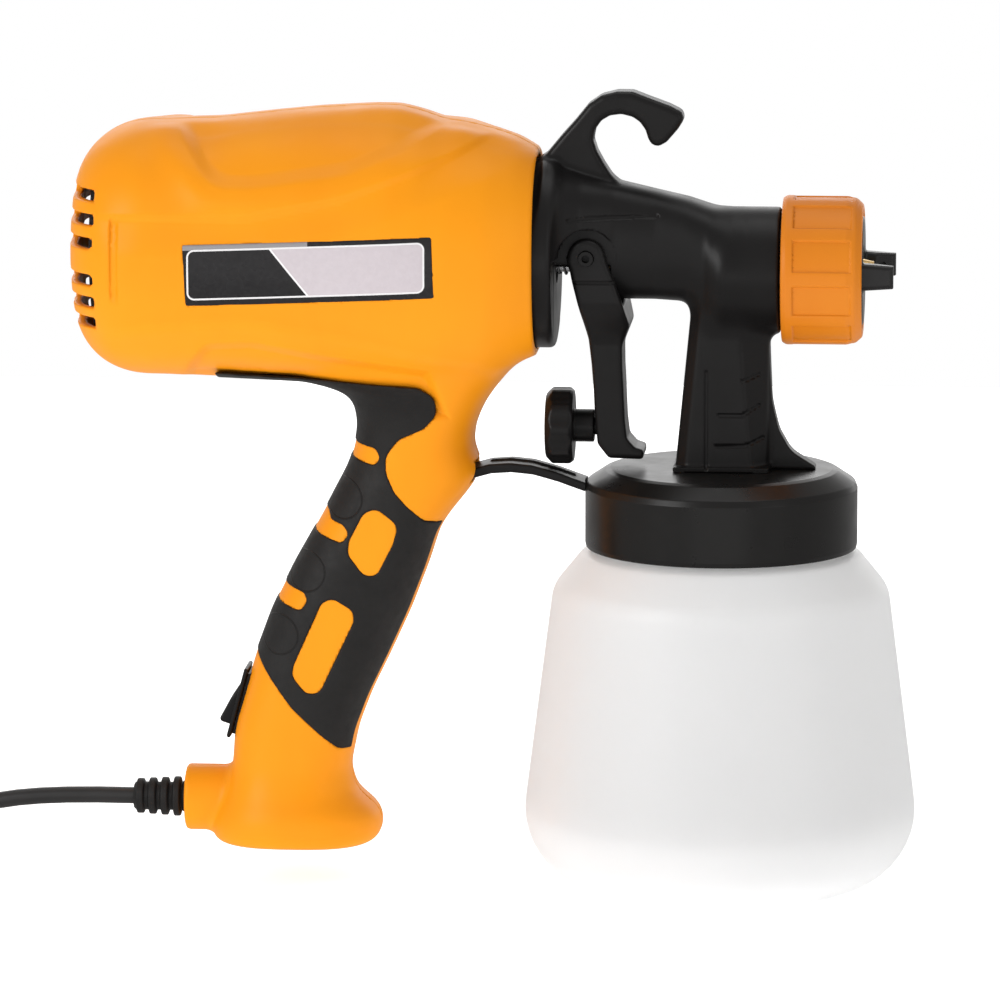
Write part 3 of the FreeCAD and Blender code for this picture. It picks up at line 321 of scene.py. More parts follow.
def badge_print():
    """Two-tone printed badge: dark frame, fine pale line, black panel with a slanting end, pale panel."""
    made = Nodes("badge_print")
    slope = math.tan(math.radians(2.4))
    along = made.math("ADD", made.axis("X"), 131.9)
    rise = made.math("MULTIPLY", along, slope)
    up = made.math("SUBTRACT", made.math("SUBTRACT", made.axis("Z"), 209.2), rise)
    mid_x, mid_z, half_x, half_z, corner = -0.8, 0.2, 38.3, 8.0, 2.2
    off_x = made.math("ABSOLUTE", made.math("SUBTRACT", along, mid_x))
    reach_x = made.math("SUBTRACT", off_x, half_x - corner)
    reach_z = made.math("SUBTRACT", made.math("ABSOLUTE", made.math("SUBTRACT", up, mid_z)), half_z - corner)
    outside_x = made.math("MAXIMUM", reach_x, 0.0)
    outside_z = made.math("MAXIMUM", reach_z, 0.0)
    rounded = made.math("SQRT", made.math("ADD", made.math("MULTIPLY", outside_x, outside_x),
                                          made.math("MULTIPLY", outside_z, outside_z)))
    edge = made.math("SUBTRACT", rounded, corner)
    inside = made.math("LESS_THAN", edge, 0.0)
    line = made.math("LESS_THAN", made.math("ABSOLUTE", edge), 0.28)
    slant = made.math("ADD", made.math("ADD", along, 5.9), made.math("MULTIPLY", up, 0.78))
    dark_panel = made.math("LESS_THAN", slant, 0.0)
    divide = made.math("LESS_THAN", made.math("ABSOLUTE", slant), 0.35)
    speckle = made.spread(made.noise(1.5, 3.0), 0.0, 1.0)
    pale = made.mix(speckle, (0.60, 0.545, 0.575), (0.57, 0.515, 0.545))
    black = made.mix(speckle, (0.018, 0.017, 0.018), (0.024, 0.023, 0.024))
    panel = made.mix(dark_panel, pale, black)
    border = made.math("MULTIPLY", made.math("GREATER_THAN", up, 8.3), made.math("LESS_THAN", along, 0.0))
    shown = made.mix(inside, made.mix(border, black, (0.30, 0.29, 0.30)), panel)
    lines = made.math("MAXIMUM", line, made.math("MULTIPLY", inside, divide))
    shown = made.mix(lines, shown, (0.85, 0.84, 0.85))
    made.set(Base_Color=shown, Specular_IOR_Level=0.2)
    made.set(Roughness=made.spread(made.noise(6.0), 0.22, 0.32))
    made.bump(made.math("SUBTRACT", 1.0, inside), 0.15)
    return made.material


MATERIALS = {
    "casing": plastic("orange_casing", (0.95, 0.335, 0.008), (0.92, 0.310, 0.007), 0.40, 0.5, 0.006,
                      specular=0.15),
    "nut": plastic("orange_nut", (0.74, 0.225, 0.010), (0.71, 0.205, 0.009), 0.40, 0.5, 0.006, 0.25),
    "black": plastic("black_nylon", (0.0065, 0.0060, 0.0060), (0.0090, 0.0084, 0.0084), 0.37, 0.30, 0.010,
                     specular=0.22),
    "lid": plastic("black_lid", (0.0080, 0.0075, 0.0072), (0.0105, 0.0100, 0.0096), 0.30, 0.6, 0.006,
                   specular=0.24),
    "cap": plastic("black_cap", (0.0085, 0.0080, 0.0080), (0.0115, 0.0108, 0.0108), 0.30, 0.6, 0.006,
                   specular=0.35),
    "grip": grip_rubber(),
    "cup": translucent_cup(),
    "badge": badge_print(),
    "steel": metal("turned_steel", (0.62, 0.62, 0.63), 0.26, (0.1, 1.0, 1.0)),
    "brass": metal("turned_brass", (0.80, 0.55, 0.22), 0.27, (0.1, 1.0, 1.0)),
    "aluminium": metal("cast_aluminium", (0.72, 0.73, 0.74), 0.42, (1.0, 1.0, 1.0)),
    "copper": windings(),
    "laminated": laminations(),
    "seal": plastic("seal_rubber", (0.020, 0.020, 0.020), (0.028, 0.027, 0.027), 0.66, 0.4, 0.02, 0.3),
    "white": plastic("white_polymer", (0.80, 0.80, 0.77), (0.75, 0.75, 0.72), 0.38),
    "carbon": plastic("carbon_brush", (0.035, 0.035, 0.037), (0.055, 0.055, 0.057), 0.6, 0.2, 0.02),
    "foam": foam(),
    "sheath": plastic("cord_sheath", (0.013, 0.0125, 0.0125), (0.018, 0.017, 0.017), 0.40, 0.4, 0.010),
}

CAD_MATERIALS = {
    "steel": ["casing_screws", "needle", "needle_spring", "motor_shaft", "rear_bearing", "front_bearing",
              "clamp_screws"],
    "brass": ["needle_collar", "packing_nut", "fluid_nozzle", "commutator", "brush_holders", "plug_pins"],
    "aluminium": ["rear_bracket", "front_bracket"],
    "copper": ["armature_windings", "field_windings"],
    "laminated": ["armature_core", "stator_core"],
    "seal": ["lid_gasket", "flange_seal", "nozzle_seal", "mount_rings"],
    "white": ["pickup_tube", "pickup_strainer", "needle_packing", "capacitor"],
    "black": ["trigger_pin", "fan_impeller", "fan_shroud", "cord_clamp"],
    "carbon": ["carbon_brushes"],
    "foam": ["intake_filter"],
    "sheath": ["cord_inside", "power_leads", "motor_leads"],
}


def dress_cad_nodes():
    """Gives each CAD node that stays its material."""
    for key, names in CAD_MATERIALS.items():
        for name in names:
            mesh = bpy.data.objects[name].data
            mesh.materials.clear()
            mesh.materials.append(MATERIALS[key])


# ---------------------------------------------------------------- meshing of signed distances


def sample(field, low, step, blocks, block=8):
    """The field on a grid of blocks; blocks far from the surface get one value."""
    span = block * step
    centres = [low[k] + (np.arange(blocks[k]) + 0.5) * span for k in range(3)]
    grid = np.meshgrid(*centres, indexing="ij")
    coarse = field(*(axis.ravel() for axis in grid)).reshape(blocks)
    values = np.repeat(np.repeat(np.repeat(coarse, block, 0), block, 1), block, 2).astype(np.float32)
    near = np.argwhere(np.abs(coarse) < span * 1.25)
    steps = np.arange(block) * step
    for part in np.array_split(near, max(1, len(near) // 3000)):
        corner = [low[k] + part[:, k] * span for k in range(3)]
        x = corner[0][:, None, None, None] + steps[None, :, None, None]
        y = corner[1][:, None, None, None] + steps[None, None, :, None]
        z = corner[2][:, None, None, None] + steps[None, None, None, :]
        x, y, z = np.broadcast_arrays(x, y, z)
        found = field(x.ravel(), y.ravel(), z.ravel()).reshape(-1, block, block, block)
        for (i, j, k), cell in zip(part * block, found):
            values[i:i + block, j:j + block, k:k + block] = cell
    return values


def surface_net(values, low, step):
    """Points and quads of the zero surface: one point per crossed cell, one quad per crossed edge."""
    inside = values < 0
    shape = tuple(n - 1 for n in values.shape)
    corners = [(a, b, c) for a in (0, 1) for b in (0, 1) for c in (0, 1)]
    count = np.zeros(shape, np.uint8)
    for a, b, c in corners:
        count += inside[a:a + shape[0], b:b + shape[1], c:c + shape[2]]
    cells = np.argwhere((count > 0) & (count < 8))
    number = np.full(shape, -1, np.int32)
    number[tuple(cells.T)] = np.arange(len(cells))
    at_corner = {c: values[tuple((cells + c).T)] for c in corners}
    total = np.zeros((len(cells), 3))
    crossed = np.zeros(len(cells))
    for start in corners:
        for axis in range(3):
            if start[axis]:
                continue
            end = tuple(1 if k == axis else start[k] for k in range(3))
            first, second = at_corner[start], at_corner[end]
            cut = (first < 0) != (second < 0)
            share = np.where(cut, first / np.where(cut, first - second, 1.0), 0.0)
            place = np.array(start, float) + share[:, None] * (np.array(end) - np.array(start))
            total += place * cut[:, None]
            crossed += cut
    points = np.array(low) + (cells + total / crossed[:, None]) * step
    quads = []
    for axis in range(3):
        u, v = (axis + 1) % 3, (axis + 2) % 3
        lower = inside[tuple(slice(0, -1) if k == axis else slice(1, -1) for k in range(3))]
        upper = inside[tuple(slice(1, None) if k == axis else slice(1, -1) for k in range(3))]
        for outward in (True, False):
            edges = np.argwhere((lower != upper) & (lower == outward))
            edges += [0 if k == axis else 1 for k in range(3)]
            ring = []
            for du, dv in ((-1, -1), (0, -1), (0, 0), (-1, 0)):
                shift = [0, 0, 0]
                shift[u], shift[v] = du, dv
                ring.append(number[tuple((edges + shift).T)])
            ring = np.stack(ring, 1)
            quads.append(ring if outward else ring[:, ::-1])
    return points, np.concatenate(quads)


def slopes(field, points, reach=0.04):
    """The field's gradient at points."""
    found = np.empty_like(points)
    for k in range(3):
        ahead, behind = points.copy(), points.copy()
        ahead[:, k] += reach
        behind[:, k] -= reach
        found[:, k] = (field(*ahead.T) - field(*behind.T)) / (2 * reach)
    return found


def solid(name, field, low, high, step, material, body, replaced=()):
    """A closed mesh of the field's zero surface, with normals read from the field."""
    step = step * FINE
    blocks = tuple(int(math.ceil((b - a) / (8 * step))) + 1 for a, b in zip(low, high))
    start = [a - 1.5 * step for a in low]
    points, quads = surface_net(sample(field, start, step, blocks), start, step)
    for _ in range(3):
        gradient = slopes(field, points)
        square = np.maximum((gradient ** 2).sum(1), 0.05)
        move = -field(*points.T)[:, None] * gradient / square[:, None]
        length = np.linalg.norm(move, axis=1, keepdims=True)
        points += move * np.minimum(1.0, 0.6 * step / np.maximum(length, 1e-9))
    normals = slopes(field, points)
    normals /= np.maximum(np.linalg.norm(normals, axis=1, keepdims=True), 1e-9)
    return mesh_piece(name, points, quads, material, body, replaced, normals)


def placed(name, mesh, body, replaced):
    """An object for the mesh, riding on its body and standing for its CAD nodes."""
    piece = bpy.data.objects.new(name, mesh)
    bpy.context.scene.collection.objects.link(piece)
    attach(piece, body)
    if replaced:
        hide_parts(*replaced)
    return piece


def mesh_piece(name, points, faces, material, body, replaced=(), normals=None):
    """A smooth-shaded piece from points in millimetres; faces all have as many corners."""
    mesh = bpy.data.meshes.new(name)
    faces = np.asarray(faces, np.int32)
    sides = faces.shape[1]
    mesh.vertices.add(len(points))
    mesh.vertices.foreach_set("co", (np.asarray(points) * MM).astype(np.float32).ravel())
    mesh.loops.add(faces.size)
    mesh.loops.foreach_set("vertex_index", faces.ravel())
    mesh.polygons.add(len(faces))
    mesh.polygons.foreach_set("loop_start", np.arange(0, faces.size, sides, dtype=np.int32))
    mesh.update(calc_edges=True)
    mesh.validate()
    mesh.polygons.foreach_set("use_smooth", np.ones(len(mesh.polygons), bool))
    if normals is not None and len(mesh.vertices) == len(normals):
        mesh.normals_split_custom_set_from_vertices(normals.astype(np.float32))
    mesh.materials.append(material)
    return placed(name, mesh, body, replaced)


# ---------------------------------------------------------------- distance functions


def smooth_min(a, b, blend):
    share = np.maximum(blend - np.abs(a - b), 0.0) / blend
    return np.minimum(a, b) - share * share * blend * 0.25


def smooth_max(a, b, blend):
    return -smooth_min(-a, -b, blend)


def ease(value, low, high):
    """0 below low, 1 above high, smooth between."""
    share = np.clip((value - low) / (high - low), 0.0, 1.0)
    return share * share * (3 - 2 * share)


def table(rows):
    """Smooth columns against the first: each is a curve through its points."""
    rows = np.array(sorted(rows), float)
    key = rows[:, 0]
    dense = np.linspace(key[0], key[-1], 600)
    width = (key[-1] - key[0]) / 90
    kernel = np.exp(-0.5 * (np.arange(-20, 21) * (dense[1] - dense[0]) / width) ** 2)
    kernel /= kernel.sum()
    columns = []
    for column in rows[:, 1:].T:
        values = np.interp(dense, key, column)
        slope_low, slope_high = values[1] - values[0], values[-1] - values[-2]
        ends = np.arange(1, 21)
        padded = np.concatenate([values[0] - slope_low * ends[::-1], values, values[-1] + slope_high * ends])
        columns.append(np.convolve(padded, kernel, "valid"))
    return lambda at: [np.interp(at, dense, column) for column in columns]


def oval(u, v, half_u, half_v, power):
    """Distance to a rounded rectangle of the superellipse kind."""
    ratio = (np.abs(u / half_u) ** power + np.abs(v / half_v) ** power) ** (1 / power)
    length = np.sqrt(u * u + v * v)
    return np.where(ratio > 0.2, length * (1 - 1 / np.maximum(ratio, 0.2)), -np.minimum(half_u, half_v))


def segment_square(x, z, start, end):
    """Squared distance to the segment between two points."""
    (ax, az), (bx, bz) = start, end
    ex, ez = bx - ax, bz - az
    share = np.clip(((x - ax) * ex + (z - az) * ez) / (ex * ex + ez * ez), 0, 1)
    return (x - ax - share * ex) ** 2 + (z - az - share * ez) ** 2


def outline(x, z, points):
    """Signed distance to a polygon in the XZ plane."""
    points = np.array(points, float)
    best = np.full(x.shape, 1e9)
    inside = np.zeros(x.shape, bool)
    for start, end in zip(points, np.roll(points, -1, axis=0)):
        best = np.minimum(best, segment_square(x, z, start, end))
        (ax, az), (bx, bz) = start, end
        if az != bz:
            crosses = (az > z) != (bz > z)
            inside ^= crosses & (x < (bx - ax) * (z - az) / (bz - az) + ax)
    return np.where(inside, -1.0, 1.0) * np.sqrt(best)


def stroke(x, z, points):
    """Distance to an open line through points in the XZ plane."""
    best = np.full(x.shape, 1e9)
    for start, end in zip(points, points[1:]):
        best = np.minimum(best, segment_square(x, z, start, end))
    return np.sqrt(best)


def slab(value, low, high):
    return np.maximum(low - value, value - high)


def rod(u, v, along, radius, low, high, edge=0.6):
    """A round bar between two levels, with rounded rims."""
    return smooth_max(np.sqrt(u * u + v * v) - radius, slab(along, low, high), edge)


def filleted(corners, count=5):
    """Points of an outline whose corners, given as (u, v, radius), are turned into arcs."""
    points = []
    for index, (u, v, radius) in enumerate(corners):
        corner = np.array([u, v], float)
        before = np.array(corners[index - 1][:2], float) - corner
        after = np.array(corners[(index + 1) % len(corners)][:2], float) - corner
        long_a, long_b = np.linalg.norm(before), np.linalg.norm(after)
        if radius <= 0 or min(long_a, long_b) < 1e-6:
            points.append(corner)
            continue
        before, after = before / long_a, after / long_b
        half = 0.5 * math.acos(max(-1.0, min(1.0, float(before @ after))))
        if half > math.pi / 2 - 0.01:
            points.append(corner)
            continue
        reach = min(radius / math.tan(half), 0.49 * min(long_a, long_b))
        radius = reach * math.tan(half)
        bisector = before + after
        centre = corner + bisector / np.linalg.norm(bisector) * radius / math.sin(half)
        first, last = corner + before * reach - centre, corner + after * reach - centre
        spread = math.pi - 2 * half
        for step in range(count + 1):
            share = step / count
            point = math.sin((1 - share) * spread) * first + math.sin(share * spread) * last
            points.append(centre + point / math.sin(spread))
    return np.array(points)


def lathe(name, corners, along, centre, material, body, replaced=(), segments=128, arc=5):
    """A body turned about an axis; corners are (level, radius, rounding) and make a closed outline."""
    profile = filleted(corners, arc)
    following, previous = np.roll(profile, -1, axis=0), np.roll(profile, 1, axis=0)
    edge_out = following - profile
    normals = []
    for ahead, behind in zip(edge_out, profile - previous):
        if np.linalg.norm(ahead) < 1e-6 or np.linalg.norm(behind) < 1e-6:
            normals.append(np.array([0.0, 0.0]))
            continue
        normals.append(ahead + behind)
    area = np.sum(profile[:, 0] * following[:, 1] - following[:, 0] * profile[:, 1])
    turn = 1.0 if area > 0 else -1.0
    normals = np.array([(n[1] * turn, -n[0] * turn) for n in normals])
    angles = np.linspace(0, 2 * math.pi, segments, endpoint=False)
    points, directions, first = [], [], []
    for (level, radius), (slope, out) in zip(profile, normals):
        first.append((len(points), radius < 1e-6))
        ring = [0.0] if radius < 1e-6 else angles
        for angle in ring:
            cos, sin = math.cos(angle), math.sin(angle)
            if along == "Z":
                points.append((centre[0] + radius * cos, centre[1] + radius * sin, level))
                directions.append((out * cos, out * sin, slope))
            else:
                points.append((level, centre[0] + radius * cos, centre[1] + radius * sin))
                directions.append((slope, out * cos, out * sin))
    faces = []
    for index in range(len(profile)):
        (a, a_pole), (b, b_pole) = first[index], first[(index + 1) % len(profile)]
        if a_pole and b_pole:
            continue
        for k in range(segments):
            m = (k + 1) % segments
            if a_pole:
                face = (a, b + m, b + k)
            elif b_pole:
                face = (a + k, a + m, b)
            else:
                face = (a + k, a + m, b + m, b + k)
            faces.append(face if turn < 0 else face[::-1])
    mesh = bpy.data.meshes.new(name)
    mesh.from_pydata([tuple(c * MM for c in p) for p in points], [], faces)
    mesh.polygons.foreach_set("use_smooth", np.ones(len(mesh.polygons), bool))
    directions = np.array(directions)
    directions /= np.maximum(np.linalg.norm(directions, axis=1, keepdims=True), 1e-9)
    mesh.normals_split_custom_set_from_vertices(directions.astype(np.float32))
    mesh.materials.append(material)
    return placed(name, mesh, body, replaced)


# ---------------------------------------------------------------- cord and plug

CORD_ROUTE = [
    (-195.3, 0.0, 26.5), (-221.0, -0.4, 27.0), (-248.0, -1.6, 23.6), (-273.0, -3.6, 14.6),
    (-298.0, -6.2, 6.0), (-318.0, -8.0, 3.2),
]
TAIL_Y = COIL_Y + COIL_RAD + 3 * CORD_RAD
PLUG_LEVEL, PLUG_COLLAR = 7.4, -309.0


def build_cord(plug):
    """The flexible cord as one curve: down to the floor, a two-layer coil, and out to the plug."""
    per_turn, turns, middle = 24, 6.5, 3.25
    outer = COIL_RAD + 3 * CORD_RAD
    route = list(CORD_ROUTE)
    for index in range(int(per_turn * turns) + 1):
        turn = index / per_turn
        radius = outer - 2 * CORD_RAD * (turn if turn < middle else turns - turn)
        level = CORD_RAD + 2 * CORD_RAD * float(ease(np.float64(turn), middle - 0.3, middle + 0.3))
        angle = -math.pi / 2 - turn * 2 * math.pi
        route.append((COIL_X + radius * math.cos(angle), COIL_Y + radius * math.sin(angle), level))
    top = 3 * CORD_RAD
    route += [(-327.0, TAIL_Y, top), (-318.0, TAIL_Y, PLUG_LEVEL), (PLUG_COLLAR, TAIL_Y, PLUG_LEVEL),
              (PLUG_COLLAR + 3.0, TAIL_Y, PLUG_LEVEL)]
    curve = bpy.data.curves.new("cord", "CURVE")
    curve.dimensions = "3D"
    curve.bevel_depth = CORD_RAD * MM
    curve.bevel_resolution = 6
    curve.use_fill_caps = True
    curve.resolution_u = 4
    spline = curve.splines.new("NURBS")
    spline.points.add(len(route) - 1)
    for point, place in zip(spline.points, route):
        point.co = (*(c * MM for c in place), 1.0)
    spline.order_u = 3
    spline.use_endpoint_u = True
    curve.materials.append(MATERIALS["sheath"])
    cord = bpy.data.objects.new("mains_cord", curve)
    bpy.context.scene.collection.objects.link(cord)
    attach(cord, "gun")
    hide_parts("cord_tube", "cord_coil", "cord_tail")


def build_plug():
    """The flat two-pin plug with its ribbed cord collar."""
    width_at = table([(-306, 5.2, 4.6), (-300, 6.6, 5.8), (-292, 9.5, 6.9), (-284, 15.4, 7.35),
                      (-274, 17.5, 7.35)])

    def plug(x, y, z):
        y, z = y - TAIL_Y, z - PLUG_LEVEL
        half_y, half_z = width_at(x)
        body = smooth_max(oval(y, z, half_y, half_z, 3.6) * 0.85, slab(x, -304.5, -274.0), 1.6)
        ribs = 0.35 * np.cos((x + 309.0) * 2 * math.pi / 2.4)
        collar = rod(y, z, x, 4.35 + ribs, PLUG_COLLAR, -303.0, 0.8)
        face = np.maximum(np.abs(y) - 14.0, np.abs(z) - 4.6)
        body = smooth_max(body, -np.maximum(face, -274.6 - x), 0.4)
        return smooth_min(body, collar, 1.0)

    return solid("plug", plug, (-312, TAIL_Y - 20, -1), (-271, TAIL_Y + 20, 16), 0.6,
                 MATERIALS["sheath"], "gun", ["plug_body"])


def build_strain_relief():
    """The rubber sleeve with its ribs where the cord leaves the handle."""
    corners = [(-168.7, 2.8, 0), (-168.7, 7.0, 0.4), (-173.5, 7.0, 0.3), (-173.5, 5.2, 0.2),
               (-178.6, 5.2, 0.2)]
    start, pitch = -179.3, 4.1
    for index in range(4):
        level, rib = start - index * pitch, 6.6 - index * 0.25
        corners += [(level, 4.7, 0.25), (level - 0.5, rib, 0.5), (level - 2.5, rib, 0.5),
                    (level - 3.0, 4.7, 0.25)]
    corners += [(-195.3, 4.1, 0.5), (-195.3, 2.8, 0)]
    lathe("strain_relief_sleeve", corners, "X", (0, 26.5), MATERIALS["grip"], "gun", ["strain_relief"],
          64)


# ---------------------------------------------------------------- casing

BARREL = table([
    (-216, 170.5, 252.5, 43), (-205, 170.2, 252.6, 43.5), (-195, 170.0, 253.2, 44.2),
    (-182, 169.9, 253.6, 44.8), (-165, 169.3, 254.2, 45.5), (-147, 168.6, 256.3, 46),
    (-132.7, 167.9, 257.8, 46), (-115, 166.9, 258.9, 46), (-106, 166.4, 258.9, 45.8),
    (-98, 166.2, 256.9, 45.2), (-91, 167.0, 254.4, 44.2), (-84.4, 168.8, 253.6, 43),
    (-75, 171.8, 251.4, 40.5), (-66.5, 174.8, 248.6, 36.6), (-60.5, 177.2, 245.0, 33.4),
    (-52, 181.5, 239.5, 30),
])
HANDLE = table([
    (6, -168, -114, 25), (13.2, -168.8, -113.2, 25.2), (20, -168.9, -112, 25.4), (24, -167.4, -113, 25),
    (30, -164.5, -120.6, 22), (38, -162, -122.8, 20), (52, -161, -119.9, 19.5), (64, -157.4, -115.3, 19.6),
    (76.6, -153.8, -109.2, 19.8), (92, -148.1, -102.2, 20.3), (107.5, -140.5, -96.3, 20.5),
    (119.3, -133.8, -92.6, 20.5), (124.7, -130.8, -89, 20.5), (131.5, -127.3, -83.4, 20.5),
    (137.5, -124.1, -79.4, 20.5), (141, -122.4, -79.2, 20.5), (147, -120.6, -81.8, 20.7),
    (154, -119.6, -80.9, 21), (161, -120.8, -77.8, 22), (166, -125.6, -74.4, 24), (170, -140, -71, 26),
    (176, -148, -68, 28), (190, -150, -66, 28),
])
REAR = -213.8
PANEL_EDGE = table([(-216, 236.5), (-165, 236), (-150, 236), (-120, 240.5), (-100, 248.5), (-84, 258),
                    (-60, 272)])
CREASE = table([(-216, 226), (-195, 226), (-153, 226.3), (-121, 233), (-88, 245), (-60, 258)])
LOWER_RIDGE = table([(-216, 188), (-195, 188.5), (-155, 192), (-124, 187), (-95, 180), (-60, 172)])
SCALLOP = filleted([(-182, 156, 0), (-173, 176, 3), (-166.5, 184.6, 6), (-151, 185.4, 12), (-129, 181, 25),
                    (-94, 175, 0), (-88, 158, 0)])
GRIP_OUTLINE = filleted([
    (-165, 167.5, 0), (-165, 172.8, 0), (-150, 171.8, 0), (-125.5, 170.5, 0), (-98.0, 168.7, 4),
    (-92.7, 165.2, 5), (-92.2, 159.2, 5), (-96.4, 154.5, 6), (-104.9, 150.7, 6), (-109.0, 145.1, 6),
    (-109.0, 139.5, 6), (-106.0, 132.9, 6), (-101.9, 128.5, 6), (-96.8, 123.7, 5), (-86, 121.0, 0),
    (-84, 100, 0), (-98, 60, 0), (-112, 44, 0), (-122.3, 45.7, 2), (-125.7, 46.5, 3), (-130.5, 50.8, 5),
    (-140.4, 60.3, 5), (-149.9, 72.9, 3), (-154.8, 80.1, 0), (-162, 84, 0), (-152, 104, 0),
    (-138, 130, 0), (-130, 150, 0), (-126.6, 165.8, 2.5), (-140, 167.3, 0),
])
INLAYS = [
    filleted([(-131, 150.8, 0), (-119.2, 148.3, 0), (-112.6, 147.5, 2.2), (-111.1, 144.5, 2.2),
              (-112.8, 141.9, 2.2), (-120.5, 143.6, 0), (-133, 146.3, 0)]),
    filleted([(-140, 129.3, 0), (-128.8, 125.9, 1.5), (-127.8, 123.2, 1.5), (-123.5, 121.9, 2.2),
              (-121.3, 119.2, 2.2), (-123.7, 116.1, 2.2), (-133.8, 119.0, 0), (-144, 121.3, 0)]),
    filleted([(-156, 103.3, 0), (-144.4, 101.1, 0), (-136.6, 99.1, 2.2), (-135.2, 96.5, 2.2),
              (-137.7, 93.1, 2.2), (-146.7, 95.7, 0), (-160, 98.3, 0)]),
]
WINDOWS = [
    filleted([(-112.3, 127.9, 4), (-105.1, 122.2, 4), (-107.0, 115.7, 4), (-112.2, 105.5, 4),
              (-116.3, 105.5, 4), (-121.6, 112.5, 4), (-121.2, 116.7, 4), (-116.5, 125.9, 4)]),
    filleted([(-126.8, 97.7, 4), (-120.0, 93.5, 4), (-120.0, 89.7, 4), (-131.3, 65.9, 4), (-135.6, 65.5, 4),
              (-140.3, 71.5, 4), (-139.7, 74.9, 4), (-130.4, 95.9, 4)]),
]
SCREWS = [(-194.5, 241.5), (-194.5, 182.5), (-75.5, 240.0), (-88.0, 158.0), (-93.5, 131.5), (-137.0, 38.0)]
SWITCH = (-159.4, 59.6)
TILT = math.radians(15.0)


def barrel_shape(x, y, z):
    low, high, half = BARREL(x)
    side = oval(y, z - (low + high) / 2, half, (high - low) / 2, 2.45)
    bulge = (y * y + (z - 211.5) ** 2) / 300.0
    return smooth_max(side, REAR + bulge - x, 21.0)


def handle_shape(x, y, z):
    rear, front, half = HANDLE(z)
    side = oval(x - (rear + front) / 2, y, (front - rear) / 2, half, 2.5) * 0.9
    return smooth_max(smooth_max(side, 13.2 - z, 5.0), z - 186.0, 3.0)


def sleek_shape(x, y, z):
    """The casing's outside before its fine sculpting."""
    boss = rod(y, z - 26.5, x, 11.0, -177.7, -140.0, 1.6)
    return smooth_min(smooth_min(barrel_shape(x, y, z), handle_shape(x, y, z), 5.0), boss, 2.5)


def badge_frame(x, z):
    """Distance in the side view to the badge's outline."""
    slope = math.radians(2.4)
    along = (x + 131.9) * math.cos(slope) + (z - 209.2) * math.sin(slope)
    up = (z - 209.2) * math.cos(slope) - (x + 131.9) * math.sin(slope)
    reach_x, reach_z = np.abs(along) - 39.8, np.abs(up) - 9.4
    outside = np.hypot(np.maximum(reach_x, 0), np.maximum(reach_z, 0))
    return outside + np.minimum(np.maximum(reach_x, reach_z), 0) - 0.6


def sculpted(x, y, z):
    """How far the sculpting sinks the side surface below the plain shape."""
    side = ease(np.abs(y), 8.0, 20.0)
    fade = 1 - ease(-x, 190.0, 206.0)
    inset = smooth_min(z - PANEL_EDGE(x)[0], x + 163.5 + 0.75 * (z - 236.0), 6.0)
    sink = 2.0 * ease(inset, -1.0, 4.0) * (1 - ease(inset, 6.0, 26.0))
    sink = sink - 1.1 * np.exp(-((inset + 5.0) / 6.5) ** 2) * fade * ease(z, 221, 232)
    below = CREASE(x)[0] - z
    sink = sink + 1.1 * ease(below, -1.5, 2.0) * (1 - ease(below, 3.0, 13.0)) * fade
    sink = sink - 0.9 * np.exp(-((z - LOWER_RIDGE(x)[0]) / 4.0) ** 2) * fade
    sink = sink + 1.6 * ease(-outline(x, z, SCALLOP), -0.6, 3.0)
    groove = (1 - ease(np.abs(x + 195.5), 0.7, 1.7)) * ease(z, 197, 201) * (1 - ease(z, 223, 227))
    return (sink + 0.8 * groove) * side


def grip_region(x, y, z):
    """Distance to the rubber's edge: negative where rubber lies, with a bare strip down the front."""
    region = outline(x, z, GRIP_OUTLINE)
    for hole in (*INLAYS, *WINDOWS):
        region = np.maximum(region, -outline(x, z, hole))
    rear, front, half = HANDLE(z)
    strip = np.minimum(8.0 - np.abs(y), x - (rear + front) / 2)
    return np.maximum(region, np.minimum(strip, 122.0 - z))


def switch_frame_coordinates(x, z):
    dx, dz = x - SWITCH[0], z - SWITCH[1]
    return dx * math.cos(TILT) - dz * math.sin(TILT), dx * math.sin(TILT) + dz * math.cos(TILT)


